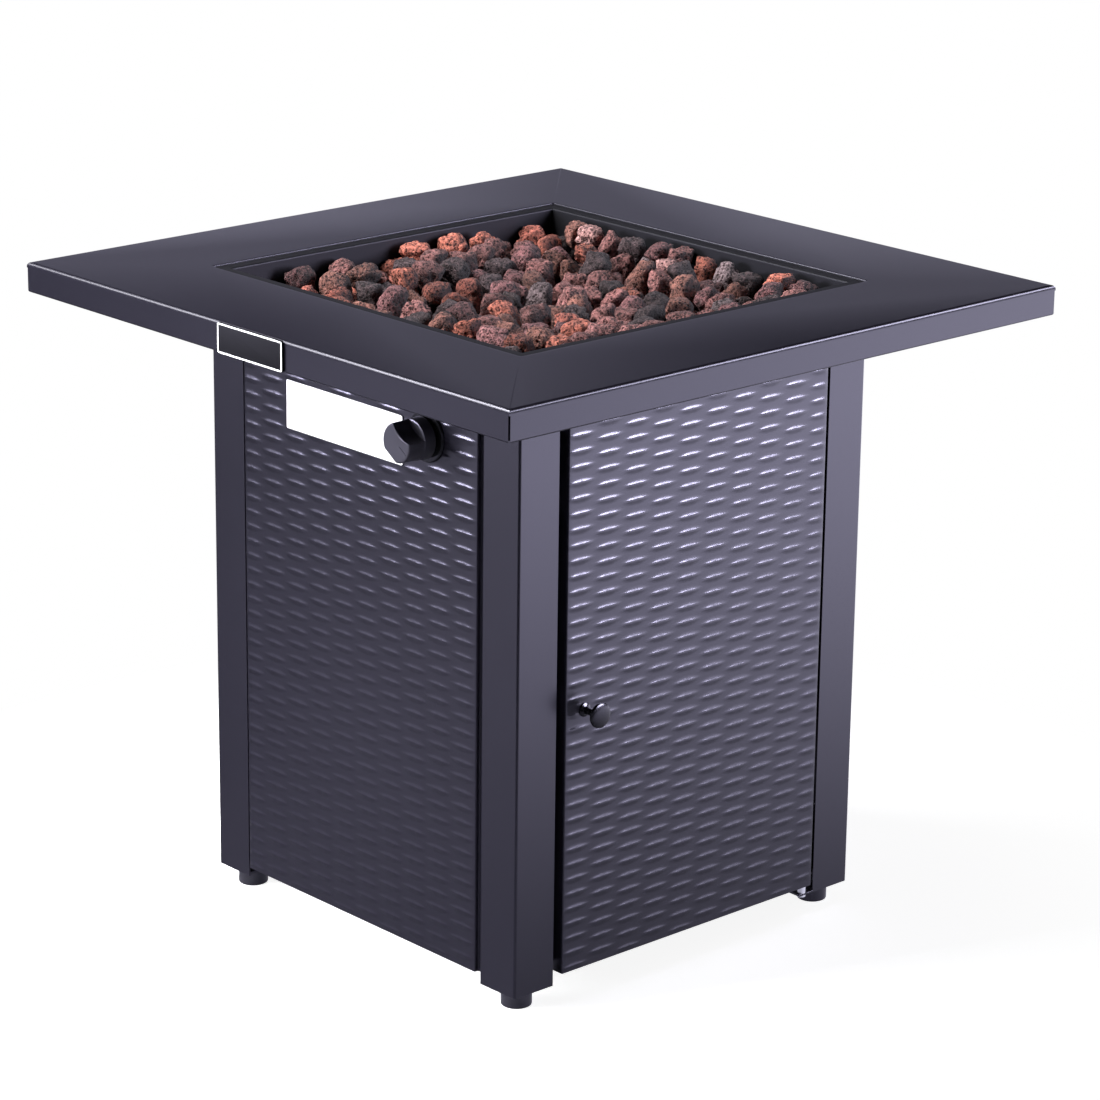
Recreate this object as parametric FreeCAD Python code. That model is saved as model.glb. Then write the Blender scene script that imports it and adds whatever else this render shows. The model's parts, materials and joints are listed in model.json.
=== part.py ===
import FreeCAD, Part
import math
import os
import random

# Square gas fire pit table: a folded steel top on a four-post base, with a burner pan of lava
# rock in the opening, a hinged door for the gas bottle and a control valve behind the front.
# Units are millimetres. +Z is up and the floor is z = 0. The front, with the knob, faces -Y,
# and the door faces +X. The origin is on the floor, under the middle of the table top.

V = FreeCAD.Vector
UP = V(0, 0, 1)

# Whole table
table_height = 647.0
top_size = 711.0
base_size = 454.0

# Table top, one folded sheet
top_sheet = 1.5
rim_drop = 30.0
rim_bend = 4.0
rim_lip = 14.0
rim_seam = 1.8
opening_margin = 1.0
opening_corner = 3.0
stud_radius = 3.0
stud_length = 15.0
stud_inset = 8.5
stud_spread = 150.0
top_nut_flats = 10.0
top_nut_height = 5.0

# Burner pan, hung under the edge of the opening
pan_sheet = 1.5
pan_ledge = 14.0
pan_flange_reach = 13.5
pan_depth = 76.5
pan_bend = 2.0
pan_drain_radius = 4.0
pan_drain_inset = 22.0

# Corner posts
post_leg = 49.0
post_sheet = 1.5
post_bend = 2.5
post_plate = 2.0
post_plate_size = 44.0
plate_notch = 0.6
shelf_plate_height = 36.5
shelf_plate = 1.5

# Top rails
rail_sheet = 1.5
rail_bend = 1.0
rail_rise = 2.0
rail_flange = 23.0
rail_end_gap = 2.0

# Levelling feet
foot_gap = 19.0
foot_radius = 15.0
foot_round = 2.5
foot_inset = 24.5
foot_stud_radius = 4.0
foot_stud_reach = 13.0
foot_nut_height = 6.5
foot_nut_flats = 13.0

# Side panels
panel_sheet = 1.2
panel_bend = 0.8
panel_proud = 3.0
panel_side_gap = 3.5
panel_flange = 25.5
panel_bottom = 30.5
panel_top_gap = 5.0
panel_stud_radius = 2.5
panel_stud_length = 10.0
panel_stud_low = 90.0
panel_stud_edge = 40.0
panel_nut_flats = 8.0
panel_nut_height = 4.0

# Door
door_sheet = 1.2
door_bend = 0.8
door_side_gap = 7.5
door_proud = 4.6
door_depth = 14.0
door_lip = 10.0
hinge_pin_radius = 2.5
hinge_pin_inset = 4.5
hinge_pin_depth = 9.1
hinge_pin_reach = 10.0
hinge_pin_head = 2.0
hinge_collar_radius = 4.5
hinge_tab_end = 7.0
hinge_tab_width = 22.0
hinge_tab_sheet = 1.5
hinge_tab_edge = 1.0
catch_height = 293.0
catch_length = 30.0
catch_reach = 9.5
catch_body = 12.0
catch_grip = 27.0

# Door knob, a turned mushroom
door_knob_height = 293.0
door_knob_inset = 24.0
door_knob_radius = 12.4
door_knob_reach = 25.0
door_knob_cap = 5.5
door_knob_dome = 2.7
door_knob_edge = 1.2
door_knob_flare = 2.5
door_knob_neck = 3.6
door_knob_base = 7.0
door_knob_base_height = 2.5
door_knob_screw = 2.0
door_knob_head = 4.0
door_knob_head_height = 2.4

# Bottle shelf
shelf_sheet = 1.5
shelf_edge_gap = 3.5
shelf_flange = 15.0
well_radius = 108.0
well_depth = 12.0
well_hole = 70.0
screw_radius = 3.0
screw_head_radius = 5.5
screw_head_height = 3.0

# Heat shield
shield_drop = 69.0
shield_sheet = 1.2
shield_edge_gap = 2.5
shield_flange = 12.0
shield_tab = 1.5
hose_notch_half = 20.0

# Burner
burner_radius = 110.0
burner_tube = 8.0
burner_lift = 13.0
burner_port = 1.6
burner_ports = 20
spud_radius = 9.4
spud_flange_radius = 17.0
spud_flange_height = 4.0
spud_reach = 21.0
spud_nut_flats = 27.0
spud_nut_height = 7.0

# Air mixer and its shutter, below the pan
mixer_radius = 12.0
mixer_wall = 2.5
mixer_length = 44.0
mixer_overlap = 10.0
mixer_floor = 6.0
mixer_window_width = 9.0
mixer_window_height = 13.0
mixer_window_low = 17.0
shutter_wall = 1.2
shutter_margin = 2.0

# Pilot group, in its perforated guard
guard_gap = 17.0
guard_y = -30.0
guard_length = 54.0
guard_width = 34.0
guard_height = 30.0
guard_sheet = 1.0
guard_slot_width = 4.0
guard_slots = 5
guard_slot_end = 6.0
electrode_radius = 3.5
electrode_collar = 5.5
electrode_height = 14.0
electrode_rod = 1.0
electrode_rod_height = 10.0
sensor_radius = 2.2
sensor_flats = 9.0
sensor_height = 24.0
pilot_spread = 11.0
pilot_tail = 14.0
pilot_collar_height = 4.0

# Control valve behind the front panel, with its knob outside
valve_x = 102.0
valve_drop = 101.0
valve_width = 34.0
valve_height = 32.0
valve_depth = 34.0
valve_flange_radius = 19.0
valve_flange = 3.0
valve_nose_radius = 11.0
valve_nose_reach = 1.6
valve_seat_radius = 7.5
valve_seat_depth = 7.5
stem_radius = 4.0
stem_depth = 20.0
seat_height = 3.0
push_travel = 3.0
bezel_radius = 25.0
bezel_height = 3.0
bezel_gap = 0.3
bezel_slope = 1.0
knob_radius = 20.5
knob_shoulder_radius = 19.5
knob_front_radius = 19.0
knob_hollow = 13.5
knob_hollow_depth = 5.0
knob_skirt = 12.0
knob_grip = 19.0
knob_grip_half = 9.4
knob_flat = 14.5
knob_scoop = 30.0
knob_angle = -34.0
knob_stand_off = 1.0
knob_round = 1.5
pointer_width = 1.4
pointer_margin = 0.8
pointer_length = 11.6
pointer_proud = 0.4
outlet_radius = 6.5
outlet_reach = 12.0
inlet_radius = 7.0
inlet_bore = 4.0
inlet_reach = 16.0
inlet_hex_flats = 19.0
inlet_hex_height = 7.0

# Gas feed tube between valve and mixer
feed_radius = 4.0
feed_bore = 2.8
feed_straight = 40.0
feed_nut_flats = 17.0
feed_nut_length = 11.0

# Lava rock
rock_rows = 13
rock_lower_rows = 7
rock_gap = 0.3
rock_ring_gap = 7.0
rock_least_room = 5.0
rock_lower_height = 12.0
rock_upper_height = 43.0
rock_top_height = 60.0
rock_top_margin = 4.0
rock_spread = 4.5
rock_crown = 14.0
rock_jitter = 0.32
rock_least_spacing = 18.0
rock_least_cut = 2.0
rock_cuts = 8
rock_seed = 5
# the heap lies higher against the back and the side walls, in this many broken rows
rock_drift_rows = 3
rock_drift_fall = 4.0
rock_drift_share = 0.75
# single stones that lie on top along the back wall, by how far right they are
rock_perches = [136.0, 172.0]

# Name plate on the front rim, left blank
plate_length = 96.0
plate_height = 29.4
plate_thick = 2.5
plate_corner = 3.0

# Clearances
seat_gap = 0.3
running_gap = 0.05
hole_gap = 0.5

# Worked out from the sizes above
half_top = top_size / 2
half_base = base_size / 2
opening_size = base_size - opening_margin
half_opening = opening_size / 2
rim_bottom = table_height - rim_drop
top_under = table_height - top_sheet
pan_inside = half_opening - pan_ledge
pan_floor = top_under - pan_depth
rail_top = top_under - pan_sheet
rail_under = rail_top - rail_sheet
panel_width = base_size - 2 * (post_leg + panel_side_gap)
panel_top = rim_bottom - panel_top_gap
panel_stud_high = panel_top - panel_stud_edge
rail_bottom = panel_top + rail_rise
post_top = rail_under - rail_bend
post_inside = half_base - post_sheet
post_edge = half_base - post_leg
foot_centre = half_base - foot_inset
panel_face = half_base + panel_proud
half_panel = panel_width / 2
panel_back = post_inside - panel_sheet
door_face = half_base + door_proud
door_back = door_face - door_depth
door_width = base_size - 2 * (post_leg + door_side_gap)
half_door = door_width / 2
hinge_x = door_face - hinge_pin_depth
hinge_y = half_door - hinge_pin_inset
door_knob_y = -half_door + door_knob_inset
stud_line = half_opening + stud_inset
panel_stud_x = half_panel + panel_flange / 2 + 1.0
shelf_bottom = shelf_plate_height + shelf_plate
shield_height = pan_floor - shield_drop
burner_height = pan_floor + burner_lift
guard_x = burner_radius - burner_tube - guard_gap - guard_length / 2
mixer_top = pan_floor - spud_reach + mixer_overlap
mixer_bottom = mixer_top - mixer_length
mixer_axis = mixer_bottom + outlet_radius
window_bottom = mixer_bottom + mixer_window_low
valve_z = table_height - valve_drop
knob_base = panel_face + bezel_height + knob_stand_off + push_travel
knob_front = knob_base + knob_skirt + knob_grip
stem_bore_end = panel_face - panel_sheet - valve_flange - stem_depth


def box(low, high):
    """Block between two opposite corners."""
    size = [b - a for a, b in zip(low, high)]
    return Part.makeBox(size[0], size[1], size[2], V(*low))


def rod(radius, start, end):
    """Cylinder from one point to another."""
    start, end = V(*start), V(*end)
    return Part.makeCylinder(radius, (end - start).Length, start, end - start)


def cone(radius_1, radius_2, start, end):
    """Cone frustum from one point to another."""
    start, end = V(*start), V(*end)
    return Part.makeCone(radius_1, radius_2, (end - start).Length, start, end - start)


def hexagon(flats, start, end):
    """Hexagonal bar of the given width across flats."""
    start, end = V(*start), V(*end)
    axis = end - start
    side = axis.cross(UP)
    if side.Length < 1e-6:
        side = V(1, 0, 0)
    side.normalize()
    other = axis.cross(side)
    other.normalize()
    reach = flats / math.sqrt(3)
    points = []
    for k in range(6):
        angle = math.radians(60 * k)
        points.append(start + side * (reach * math.cos(angle)) + other * (reach * math.sin(angle)))
    return Part.Face(Part.makePolygon(points + points[:1])).extrude(axis)


def fuse(first, *others):
    """One solid from touching pieces."""
    return first.fuse(list(others)).removeSplitter()


def cut(first, *others):
    """First shape less all the others."""
    return first.cut(list(others))


def turned(shape, degrees):
    """Copy of a shape turned about the table's upright centre line."""
    copy = shape.copy()
    copy.rotate(V(0, 0, 0), UP, degrees)
    return copy


def rounded_wire(points, radii):
    """Closed wire through flat points, each corner rounded by its own radius."""
    count = len(points)
    edges = []
    starts, ends, arcs = [], [], []
    for k in range(count):
        corner = V(*points[k])
        back = V(*points[k - 1]) - corner
        ahead = V(*points[(k + 1) % count]) - corner
        back.normalize()
        ahead.normalize()
        radius = radii[k]
        if radius < 1e-6:
            starts.append(corner)
            ends.append(corner)
            arcs.append(None)
            continue
        half = back.getAngle(ahead) / 2
        reach = radius / math.tan(half)
        middle = back + ahead
        middle.normalize()
        centre = corner + middle * (radius / math.sin(half))
        starts.append(corner + back * reach)
        ends.append(corner + ahead * reach)
        arcs.append(centre - middle * radius)
    for k in range(count):
        if arcs[k] is not None:
            edges.append(Part.Arc(starts[k], arcs[k], ends[k]).toShape())
        after = starts[(k + 1) % count]
        if (after - ends[k]).Length > 1e-6:
            edges.append(Part.LineSegment(ends[k], after).toShape())
    return Part.Wire(edges)


def folded_section(path, sheet, bend):
    """Face of a folded sheet: the path is its outer side, the sheet lies to the left of it."""
    count = len(path)
    steps = []
    for a, b in zip(path, path[1:]):
        step = V(b[0] - a[0], b[1] - a[1], 0)
        step.normalize()
        steps.append(step)
    outer, inner, outer_radii, inner_radii = [], [], [], []
    for k in range(count):
        before = steps[max(k - 1, 0)]
        after = steps[min(k, count - 2)]
        left_before = V(-before.y, before.x, 0)
        left_after = V(-after.y, after.x, 0)
        shift = (left_before + left_after) * (sheet / (1 + left_before.dot(left_after)))
        point = V(path[k][0], path[k][1], 0)
        outer.append((point.x, point.y, 0))
        inner.append((point.x + shift.x, point.y + shift.y, 0))
        turn = before.cross(after).z
        if abs(turn) < 1e-6:
            outer_radii.append(0)
            inner_radii.append(0)
        elif turn > 0:
            outer_radii.append(bend + sheet)
            inner_radii.append(bend)
        else:
            outer_radii.append(bend)
            inner_radii.append(bend + sheet)
    return Part.Face(rounded_wire(outer + inner[::-1], outer_radii + inner_radii[::-1]))


def folded_post(path, sheet, bend, low, high):
    """Folded sheet with an upright fold line, from one height to another."""
    section = folded_section(path, sheet, bend)
    section.translate(V(0, 0, low))
    return section.extrude(V(0, 0, high - low))


def rounded_square(half, corner, low, high):
    """Upright square block with rounded corners."""
    points = [(-half, -half, low), (half, -half, low), (half, half, low), (-half, half, low)]
    return Part.Face(rounded_wire(points, [corner] * 4)).extrude(V(0, 0, high - low))


def edges_at(shape, height, reach):
    """Straight edges that lie at one height, further out than the given reach."""
    found = []
    for edge in shape.Edges:
        ends = [vertex.Point for vertex in edge.Vertexes]
        level = all(abs(point.z - height) < 1e-4 for point in ends)
        far = all(max(abs(point.x), abs(point.y)) > reach for point in ends)
        if level and far and len(ends) == 2:
            found.append(edge)
    return found


def stud_places():
    """The eight points where the top's studs hold the pan flange and the rails."""
    places = []
    for side in (-1, 1):
        for along in (-stud_spread, stud_spread):
            places.append((along, side * stud_line))
            places.append((side * stud_line, along))
    return places


def table_top():
    """Folded tray: flat top with an opening, rims with an inward lip, open corner seams."""
    outer = box((-half_top, -half_top, rim_bottom), (half_top, half_top, table_height))
    rounded = edges_at(outer, table_height, half_top - 1) + edges_at(outer, rim_bottom, half_top - 1)
    outer = outer.makeFillet(rim_bend, rounded)
    inside = half_top - top_sheet
    hollow = box((-inside, -inside, rim_bottom + top_sheet), (inside, inside, top_under))
    hollowed = edges_at(hollow, top_under, inside - 1) + edges_at(hollow, rim_bottom + top_sheet, inside - 1)
    hollow = hollow.makeFillet(rim_bend - top_sheet, hollowed)
    lip = half_top - rim_lip
    window = box((-lip, -lip, rim_bottom - 1), (lip, lip, rim_bottom + top_sheet + 1))
    opening = rounded_square(half_opening, opening_corner, top_under - 1, table_height + 1)
    # a seam lies on the diagonal, from inside the lip to past the corner
    near, far = lip * math.sqrt(2) - 1, half_top * math.sqrt(2) + 1
    seam = box((near, -rim_seam / 2, rim_bottom - 1), (far, rim_seam / 2, top_under - rim_bend))
    seams = [turned(seam, 45 + 90 * k) for k in range(4)]
    sheet = cut(outer, hollow, window, opening, *seams)
    studs = []
    for x, y in stud_places():
        studs.append(rod(stud_radius, (x, y, top_under - stud_length), (x, y, top_under)))
    return fuse(sheet, *studs)


def name_plate():
    """Blank plate with round corners, flat against the middle of the front rim."""
    low = rim_bottom + (rim_drop - plate_height) / 2
    high = low + plate_height
    half = plate_length / 2
    y = -half_top
    points = [(-half, y, low), (half, y, low), (half, y, high), (-half, y, high)]
    return Part.Face(rounded_wire(points, [plate_corner] * 4)).extrude(V(0, -plate_thick, 0))


def burner_pan():
    """Square pan with a flange that shows as a ledge inside the opening."""
    outside = pan_inside + pan_sheet
    reach = half_opening + pan_flange_reach
    flange = box((-reach, -reach, rail_top), (reach, reach, top_under))
    well = box((-outside, -outside, pan_floor - pan_sheet), (outside, outside, top_under))
    hollow = box((-pan_inside, -pan_inside, pan_floor), (pan_inside, pan_inside, top_under + 1))
    body = cut(fuse(flange, well), hollow)
    brim = []
    for edge in body.Edges:
        middle = edge.valueAt((edge.FirstParameter + edge.LastParameter) / 2)
        level = abs(middle.z - top_under) < 1e-4
        if level and abs(max(abs(middle.x), abs(middle.y)) - pan_inside) < 1e-4:
            brim.append(edge)
    body = body.makeFillet(pan_bend, brim)
    holes = [rod(spud_radius + hole_gap, (0, 0, pan_floor - 5), (0, 0, pan_floor + 5))]
    drain = pan_inside - pan_drain_inset
    for x in (-drain, drain):
        for y in (-drain, drain):
            holes.append(rod(pan_drain_radius, (x, y, pan_floor - 5), (x, y, pan_floor + 5)))
    for x, y in stud_places():
        holes.append(rod(stud_radius + hole_gap, (x, y, rail_top - 1), (x, y, top_under + 1)))
    for side, radius in ((-1, electrode_radius), (1, sensor_radius)):
        x, y = guard_x + side * pilot_spread, guard_y
        holes.append(rod(radius + running_gap, (x, y, pan_floor - 5), (x, y, pan_floor + 5)))
    return cut(body, *holes)


def top_rail(angle, hinge_tab=False):
    """Angle between two posts: upright leg inside them, flange out under the pan flange."""
    half = post_inside - rail_sheet - rail_end_gap
    low = rail_bottom
    reach = post_inside - rail_sheet + rail_flange
    # section in the plane across the rail, first value outward, second value up
    path = [(post_inside, low), (post_inside, rail_under), (reach, rail_under)]
    section = folded_section(path, rail_sheet, rail_bend)
    # outward becomes -Y, up becomes +Z and the rail runs along X
    section.rotate(V(0, 0, 0), V(1, 0, 0), 90)
    section.rotate(V(0, 0, 0), UP, -90)
    section.translate(V(-half, 0, 0))
    rail = section.extrude(V(2 * half, 0, 0))
    holes = []
    for x in (-stud_spread, stud_spread):
        ends = (x, -stud_line, rail_under - 1), (x, -stud_line, rail_top + 1)
        holes.append(rod(stud_radius + hole_gap, *ends))
    rail = cut(rail, *holes)
    rail = turned(rail, angle)
    if hinge_tab:
        start = hinge_y - hinge_tab_end
        tab = box((hinge_x - hinge_collar_radius - hinge_tab_edge, start, low),
                  (post_inside, start + hinge_tab_end * 2, low + hinge_tab_sheet))
        hole = rod(hinge_pin_radius, at_hinge(low - 5), at_hinge(low + 5))
        rail = cut(fuse(rail, tab), hole)
    return rail


def corner_post(angle, first_leg_studs, second_leg_studs, hinge_tab=False):
    """Angle post with foot, shelf and shield plates, and studs for the panels it carries."""
    path = [(-half_base, -post_edge), (-half_base, -half_base), (-post_edge, -half_base)]
    post = folded_post(path, post_sheet, post_bend - post_sheet, foot_gap, post_top)
    corner = -post_inside
    far = corner + post_plate_size
    middle = corner + post_plate_size / 2
    weld = -(half_panel + panel_flange + plate_notch)
    inset = -panel_back + plate_notch
    foot_outline = [(corner, corner), (far, corner), (far, middle), (middle, far), (corner, far)]
    notched = [(corner, corner), (weld, corner), (weld, inset), (far, inset), (far, middle),
               (middle, far), (inset, far), (inset, weld), (corner, weld)]
    pieces = []
    for outline, low, thick in ((foot_outline, foot_gap, post_plate),
                                (notched, shelf_plate_height, shelf_plate),
                                (notched, shield_height - shield_tab, shield_tab)):
        points = [V(x, y, low) for x, y in outline + outline[:1]]
        pieces.append(Part.Face(Part.makePolygon(points)).extrude(V(0, 0, thick)))
    centre = -foot_centre
    plate_top = foot_gap + post_plate
    nut_top = plate_top + foot_nut_height
    pieces.append(hexagon(foot_nut_flats, (centre, centre, plate_top), (centre, centre, nut_top)))
    for height in (panel_stud_low, panel_stud_high):
        depth = corner + panel_stud_length
        along = -panel_stud_x
        if first_leg_studs:
            pieces.append(rod(panel_stud_radius, (along, corner, height), (along, depth, height)))
        if second_leg_studs:
            pieces.append(rod(panel_stud_radius, (corner, along, height), (depth, along, height)))
    post = fuse(post, *pieces)
    holes = []
    for radius, low, high in ((foot_stud_radius + running_gap, foot_gap, nut_top),
                              (screw_radius + hole_gap, shelf_plate_height, shelf_bottom)):
        holes.append(rod(radius, (centre, centre, low - 1), (centre, centre, high + 1)))
    post = turned(cut(post, *holes), angle)
    if hinge_tab:
        inner = half_base - hinge_tab_width
        joint = post_inside - post_plate_size
        tab = box((inner, hinge_y - hinge_tab_end, foot_gap), (half_base, joint, plate_top))
        root = box((inner, joint, foot_gap), (post_inside, joint + 1, plate_top))
        hole = rod(hinge_pin_radius, at_hinge(foot_gap - 1), at_hinge(plate_top + 1))
        post = cut(fuse(post, tab, root), hole)
    return post


def foot_pad(angle):
    """Round plastic pad that stands on the floor."""
    height = foot_gap - seat_gap
    bevel = 1.0
    profile = [V(0, 0, 0), V(foot_radius - foot_round, 0, 0)]
    middle = V(foot_radius - foot_round * (1 - math.sqrt(0.5)), 0, foot_round * (1 - math.sqrt(0.5)))
    low = V(foot_radius, 0, foot_round)
    edges = [Part.LineSegment(profile[0], profile[1]).toShape(), Part.Arc(profile[1], middle, low).toShape()]
    rest = [low, V(foot_radius, 0, height - bevel), V(foot_radius - bevel, 0, height)]
    rest += [V(0, 0, height), V(0, 0, 0)]
    for a, b in zip(rest, rest[1:]):
        edges.append(Part.LineSegment(a, b).toShape())
    pad = Part.Face(Part.Wire(edges)).revolve(V(0, 0, 0), UP, 360)
    pad = cut(pad, rod(foot_stud_radius, (0, 0, height / 2), (0, 0, height + 1)))
    pad.translate(V(-foot_centre, -foot_centre, 0))
    return turned(pad, angle)


def foot_stud(angle):
    """Threaded stud moulded into the pad and screwed up into the post's nut."""
    centre = -foot_centre
    low, high = (foot_gap - seat_gap) / 2, foot_gap + foot_stud_reach
    return turned(rod(foot_stud_radius, (centre, centre, low), (centre, centre, high)), angle)


def side_panel(angle, valve_hole=False):
    """Hat-section panel: the face stands proud between two posts, its flanges go behind them."""
    far = half_panel + panel_flange
    path = [(-far, -post_inside), (-half_panel, -post_inside), (-half_panel, -panel_face),
            (half_panel, -panel_face), (half_panel, -post_inside), (far, -post_inside)]
    panel = folded_post(path, panel_sheet, panel_bend, panel_bottom, panel_top)
    inner = half_panel - panel_sheet
    lips = []
    for low in (panel_bottom, panel_top - panel_sheet):
        high = low + panel_sheet
        lips.append(box((-inner, -panel_face + panel_sheet, low), (inner, -post_inside, high)))
    panel = fuse(panel, *lips)
    holes = []
    radius = panel_stud_radius + hole_gap
    for x in (-panel_stud_x, panel_stud_x):
        for height in (panel_stud_low, panel_stud_high):
            holes.append(rod(radius, (x, -post_inside - 2, height), (x, -panel_back + 2, height)))
    if valve_hole:
        holes.append(rod(valve_nose_radius + hole_gap, at_valve(panel_face + 5), at_valve(panel_back)))
    return turned(cut(panel, *holes), angle)


def panel_nuts():
    """Nuts on the posts' studs, behind the flanges of the three panels."""
    nuts = []
    for angle in (0, 180, 270):
        for x in (-panel_stud_x, panel_stud_x):
            for height in (panel_stud_low, panel_stud_high):
                start = (x, -panel_back, height)
                end = (x, -panel_back + panel_nut_height, height)
                nut = cut(hexagon(panel_nut_flats, start, end), rod(panel_stud_radius, start, end))
                nuts.append(turned(nut, angle))
    return Part.makeCompound(nuts)


def top_nuts():
    """Nuts under the rails, on the studs of the table top."""
    nuts = []
    for x, y in stud_places():
        start, end = (x, y, rail_under - top_nut_height), (x, y, rail_under)
        nuts.append(cut(hexagon(top_nut_flats, start, end), rod(stud_radius, start, end)))
    return Part.makeCompound(nuts)


def door_panel():
    """Door tray: deep flanges all round, lips up both sides, holes for pins and knob."""
    path = [(door_back, -half_door + door_lip), (door_back, -half_door), (door_face, -half_door),
            (door_face, half_door), (door_back, half_door), (door_back, half_door - door_lip)]
    door = folded_post(path, door_sheet, door_bend, panel_bottom, panel_top)
    inner = half_door - door_sheet
    ends = []
    for low in (panel_bottom, panel_top - door_sheet):
        ends.append(box((door_back, -inner, low), (door_face - door_sheet, inner, low + door_sheet)))
    door = fuse(door, *ends)
    pin = hinge_pin_radius + running_gap
    holes = [rod(door_knob_screw, at_door_knob(-5), at_door_knob(1))]
    for height in (panel_bottom, panel_top):
        holes.append(rod(pin, at_hinge(height - 5), at_hinge(height + 5)))
    return cut(door, *holes)


def at_hinge(height):
    """Point on the door's hinge line."""
    return (hinge_x, hinge_y, height)


def at_door_knob(out):
    """Point on the axis of the door's knob, so far out from the door's face."""
    return (door_face + out, door_knob_y, door_knob_height)


def door_knob():
    """Turned knob: small base, thin neck and a wide domed cap."""
    back = door_knob_reach - door_knob_cap
    brim = door_knob_reach - door_knob_dome
    points = [(0, 0), (door_knob_base, 0), (door_knob_base, door_knob_base_height / 2),
              (door_knob_neck, door_knob_base_height), (door_knob_neck, back - door_knob_flare),
              (door_knob_radius - door_knob_edge, back), (door_knob_radius, back + door_knob_edge),
              (door_knob_radius, brim)]
    flat = [V(x, 0, z) for x, z in points]
    edges = [Part.LineSegment(a, b).toShape() for a, b in zip(flat, flat[1:])]
    # the domed face is part of a ball whose middle lies on the knob's axis
    ball = (door_knob_radius ** 2 + door_knob_dome ** 2) / (2 * door_knob_dome)
    half_turn = math.asin(door_knob_radius / ball) / 2
    crown = V(0, 0, door_knob_reach)
    dome = crown + V(ball * math.sin(half_turn), 0, ball * (math.cos(half_turn) - 1))
    edges.append(Part.Arc(flat[-1], dome, crown).toShape())
    edges.append(Part.LineSegment(crown, flat[0]).toShape())
    knob = Part.Face(Part.Wire(edges)).revolve(V(0, 0, 0), UP, 360)
    knob.rotate(V(0, 0, 0), V(0, 1, 0), 90)
    knob.translate(V(*at_door_knob(0)))
    return cut(knob, rod(door_knob_screw, at_door_knob(-1), at_door_knob(door_knob_reach / 2)))


def door_knob_fixing():
    """Screw from inside the door into the knob."""
    shank = rod(door_knob_screw, at_door_knob(-door_sheet), at_door_knob(door_knob_reach / 2))
    head = rod(door_knob_head, at_door_knob(-door_sheet - door_knob_head_height), at_door_knob(-door_sheet))
    return fuse(shank, head)


def lower_hinge_pin():
    """Pin that stands in the post's tab, with a collar that carries the door."""
    low, high = foot_gap - hinge_pin_head, panel_bottom + hinge_pin_reach
    pin = rod(hinge_pin_radius, at_hinge(low), at_hinge(high))
    collar = rod(hinge_collar_radius, at_hinge(foot_gap + post_plate), at_hinge(panel_bottom - seat_gap))
    head = rod(hinge_collar_radius, at_hinge(low), at_hinge(foot_gap))
    return fuse(pin, collar, head)


def upper_hinge_pin():
    """Pin that hangs from the rail's tab into the top of the door."""
    low, high = panel_top - hinge_pin_reach, rail_bottom + hinge_tab_sheet
    pin = rod(hinge_pin_radius, at_hinge(low), at_hinge(high))
    collar = rod(hinge_collar_radius, at_hinge(panel_top + seat_gap), at_hinge(rail_bottom))
    return fuse(pin, collar)


def magnet_catch():
    """Catch on the front post that holds the door's free edge by its lip."""
    front = door_back - seat_gap
    low = catch_height - catch_length / 2
    high = low + catch_length
    nose = box((front - catch_body, -post_edge, low), (front, -half_door + catch_reach, high))
    step = -post_edge - seat_gap
    foot = box((front - catch_body, -post_edge - catch_grip, low), (post_inside, step, high))
    bridge = box((front - catch_body, step, low), (front, -post_edge, high))
    body = fuse(nose, foot, bridge)
    upright = [edge for edge in body.Edges if abs(edge.BoundBox.ZLength - catch_length) < 1e-3]
    inner = [edge for edge in upright if edge.BoundBox.XMax < front - catch_body + 1]
    return body.makeFillet(2.5, inner)


def bottle_shelf():
    """Shelf with turned-up edges and a round well that the bottle's foot ring stands in."""
    side = post_inside - panel_sheet - shelf_edge_gap
    door_side = door_back - shelf_edge_gap
    top = shelf_bottom + shelf_sheet
    outer = box((-side, -side, shelf_bottom), (door_side, side, top + shelf_flange))
    inner = box((-side + shelf_sheet, -side + shelf_sheet, top),
                (door_side - shelf_sheet, side - shelf_sheet, top + shelf_flange + 1))
    tray = cut(outer, inner)
    well_floor = shelf_bottom - well_depth
    slope = 4.0
    cup = cone(well_radius - slope + shelf_sheet, well_radius + shelf_sheet,
               (0, 0, well_floor), (0, 0, shelf_bottom + shelf_sheet / 2))
    bowl = cone(well_radius - slope, well_radius, (0, 0, well_floor + shelf_sheet), (0, 0, top + 0.01))
    shelf = cut(fuse(tray, cup), bowl, rod(well_hole, (0, 0, well_floor - 1), (0, 0, top + 1)))
    holes = []
    for x in (-foot_centre, foot_centre):
        for y in (-foot_centre, foot_centre):
            holes.append(rod(screw_radius + hole_gap, (x, y, shelf_bottom - 1), (x, y, top + 1)))
    return cut(shelf, *holes)


def shelf_screws():
    """Screws that hold the shelf's corners to the posts' plates."""
    screws = []
    top = shelf_bottom + shelf_sheet
    low = shelf_plate_height - 1.5
    for x in (-foot_centre, foot_centre):
        for y in (-foot_centre, foot_centre):
            shank = rod(screw_radius, (x, y, low), (x, y, top))
            head = rod(screw_head_radius, (x, y, top), (x, y, top + screw_head_height))
            screws.append(fuse(shank, head))
    return Part.makeCompound(screws)


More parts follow.
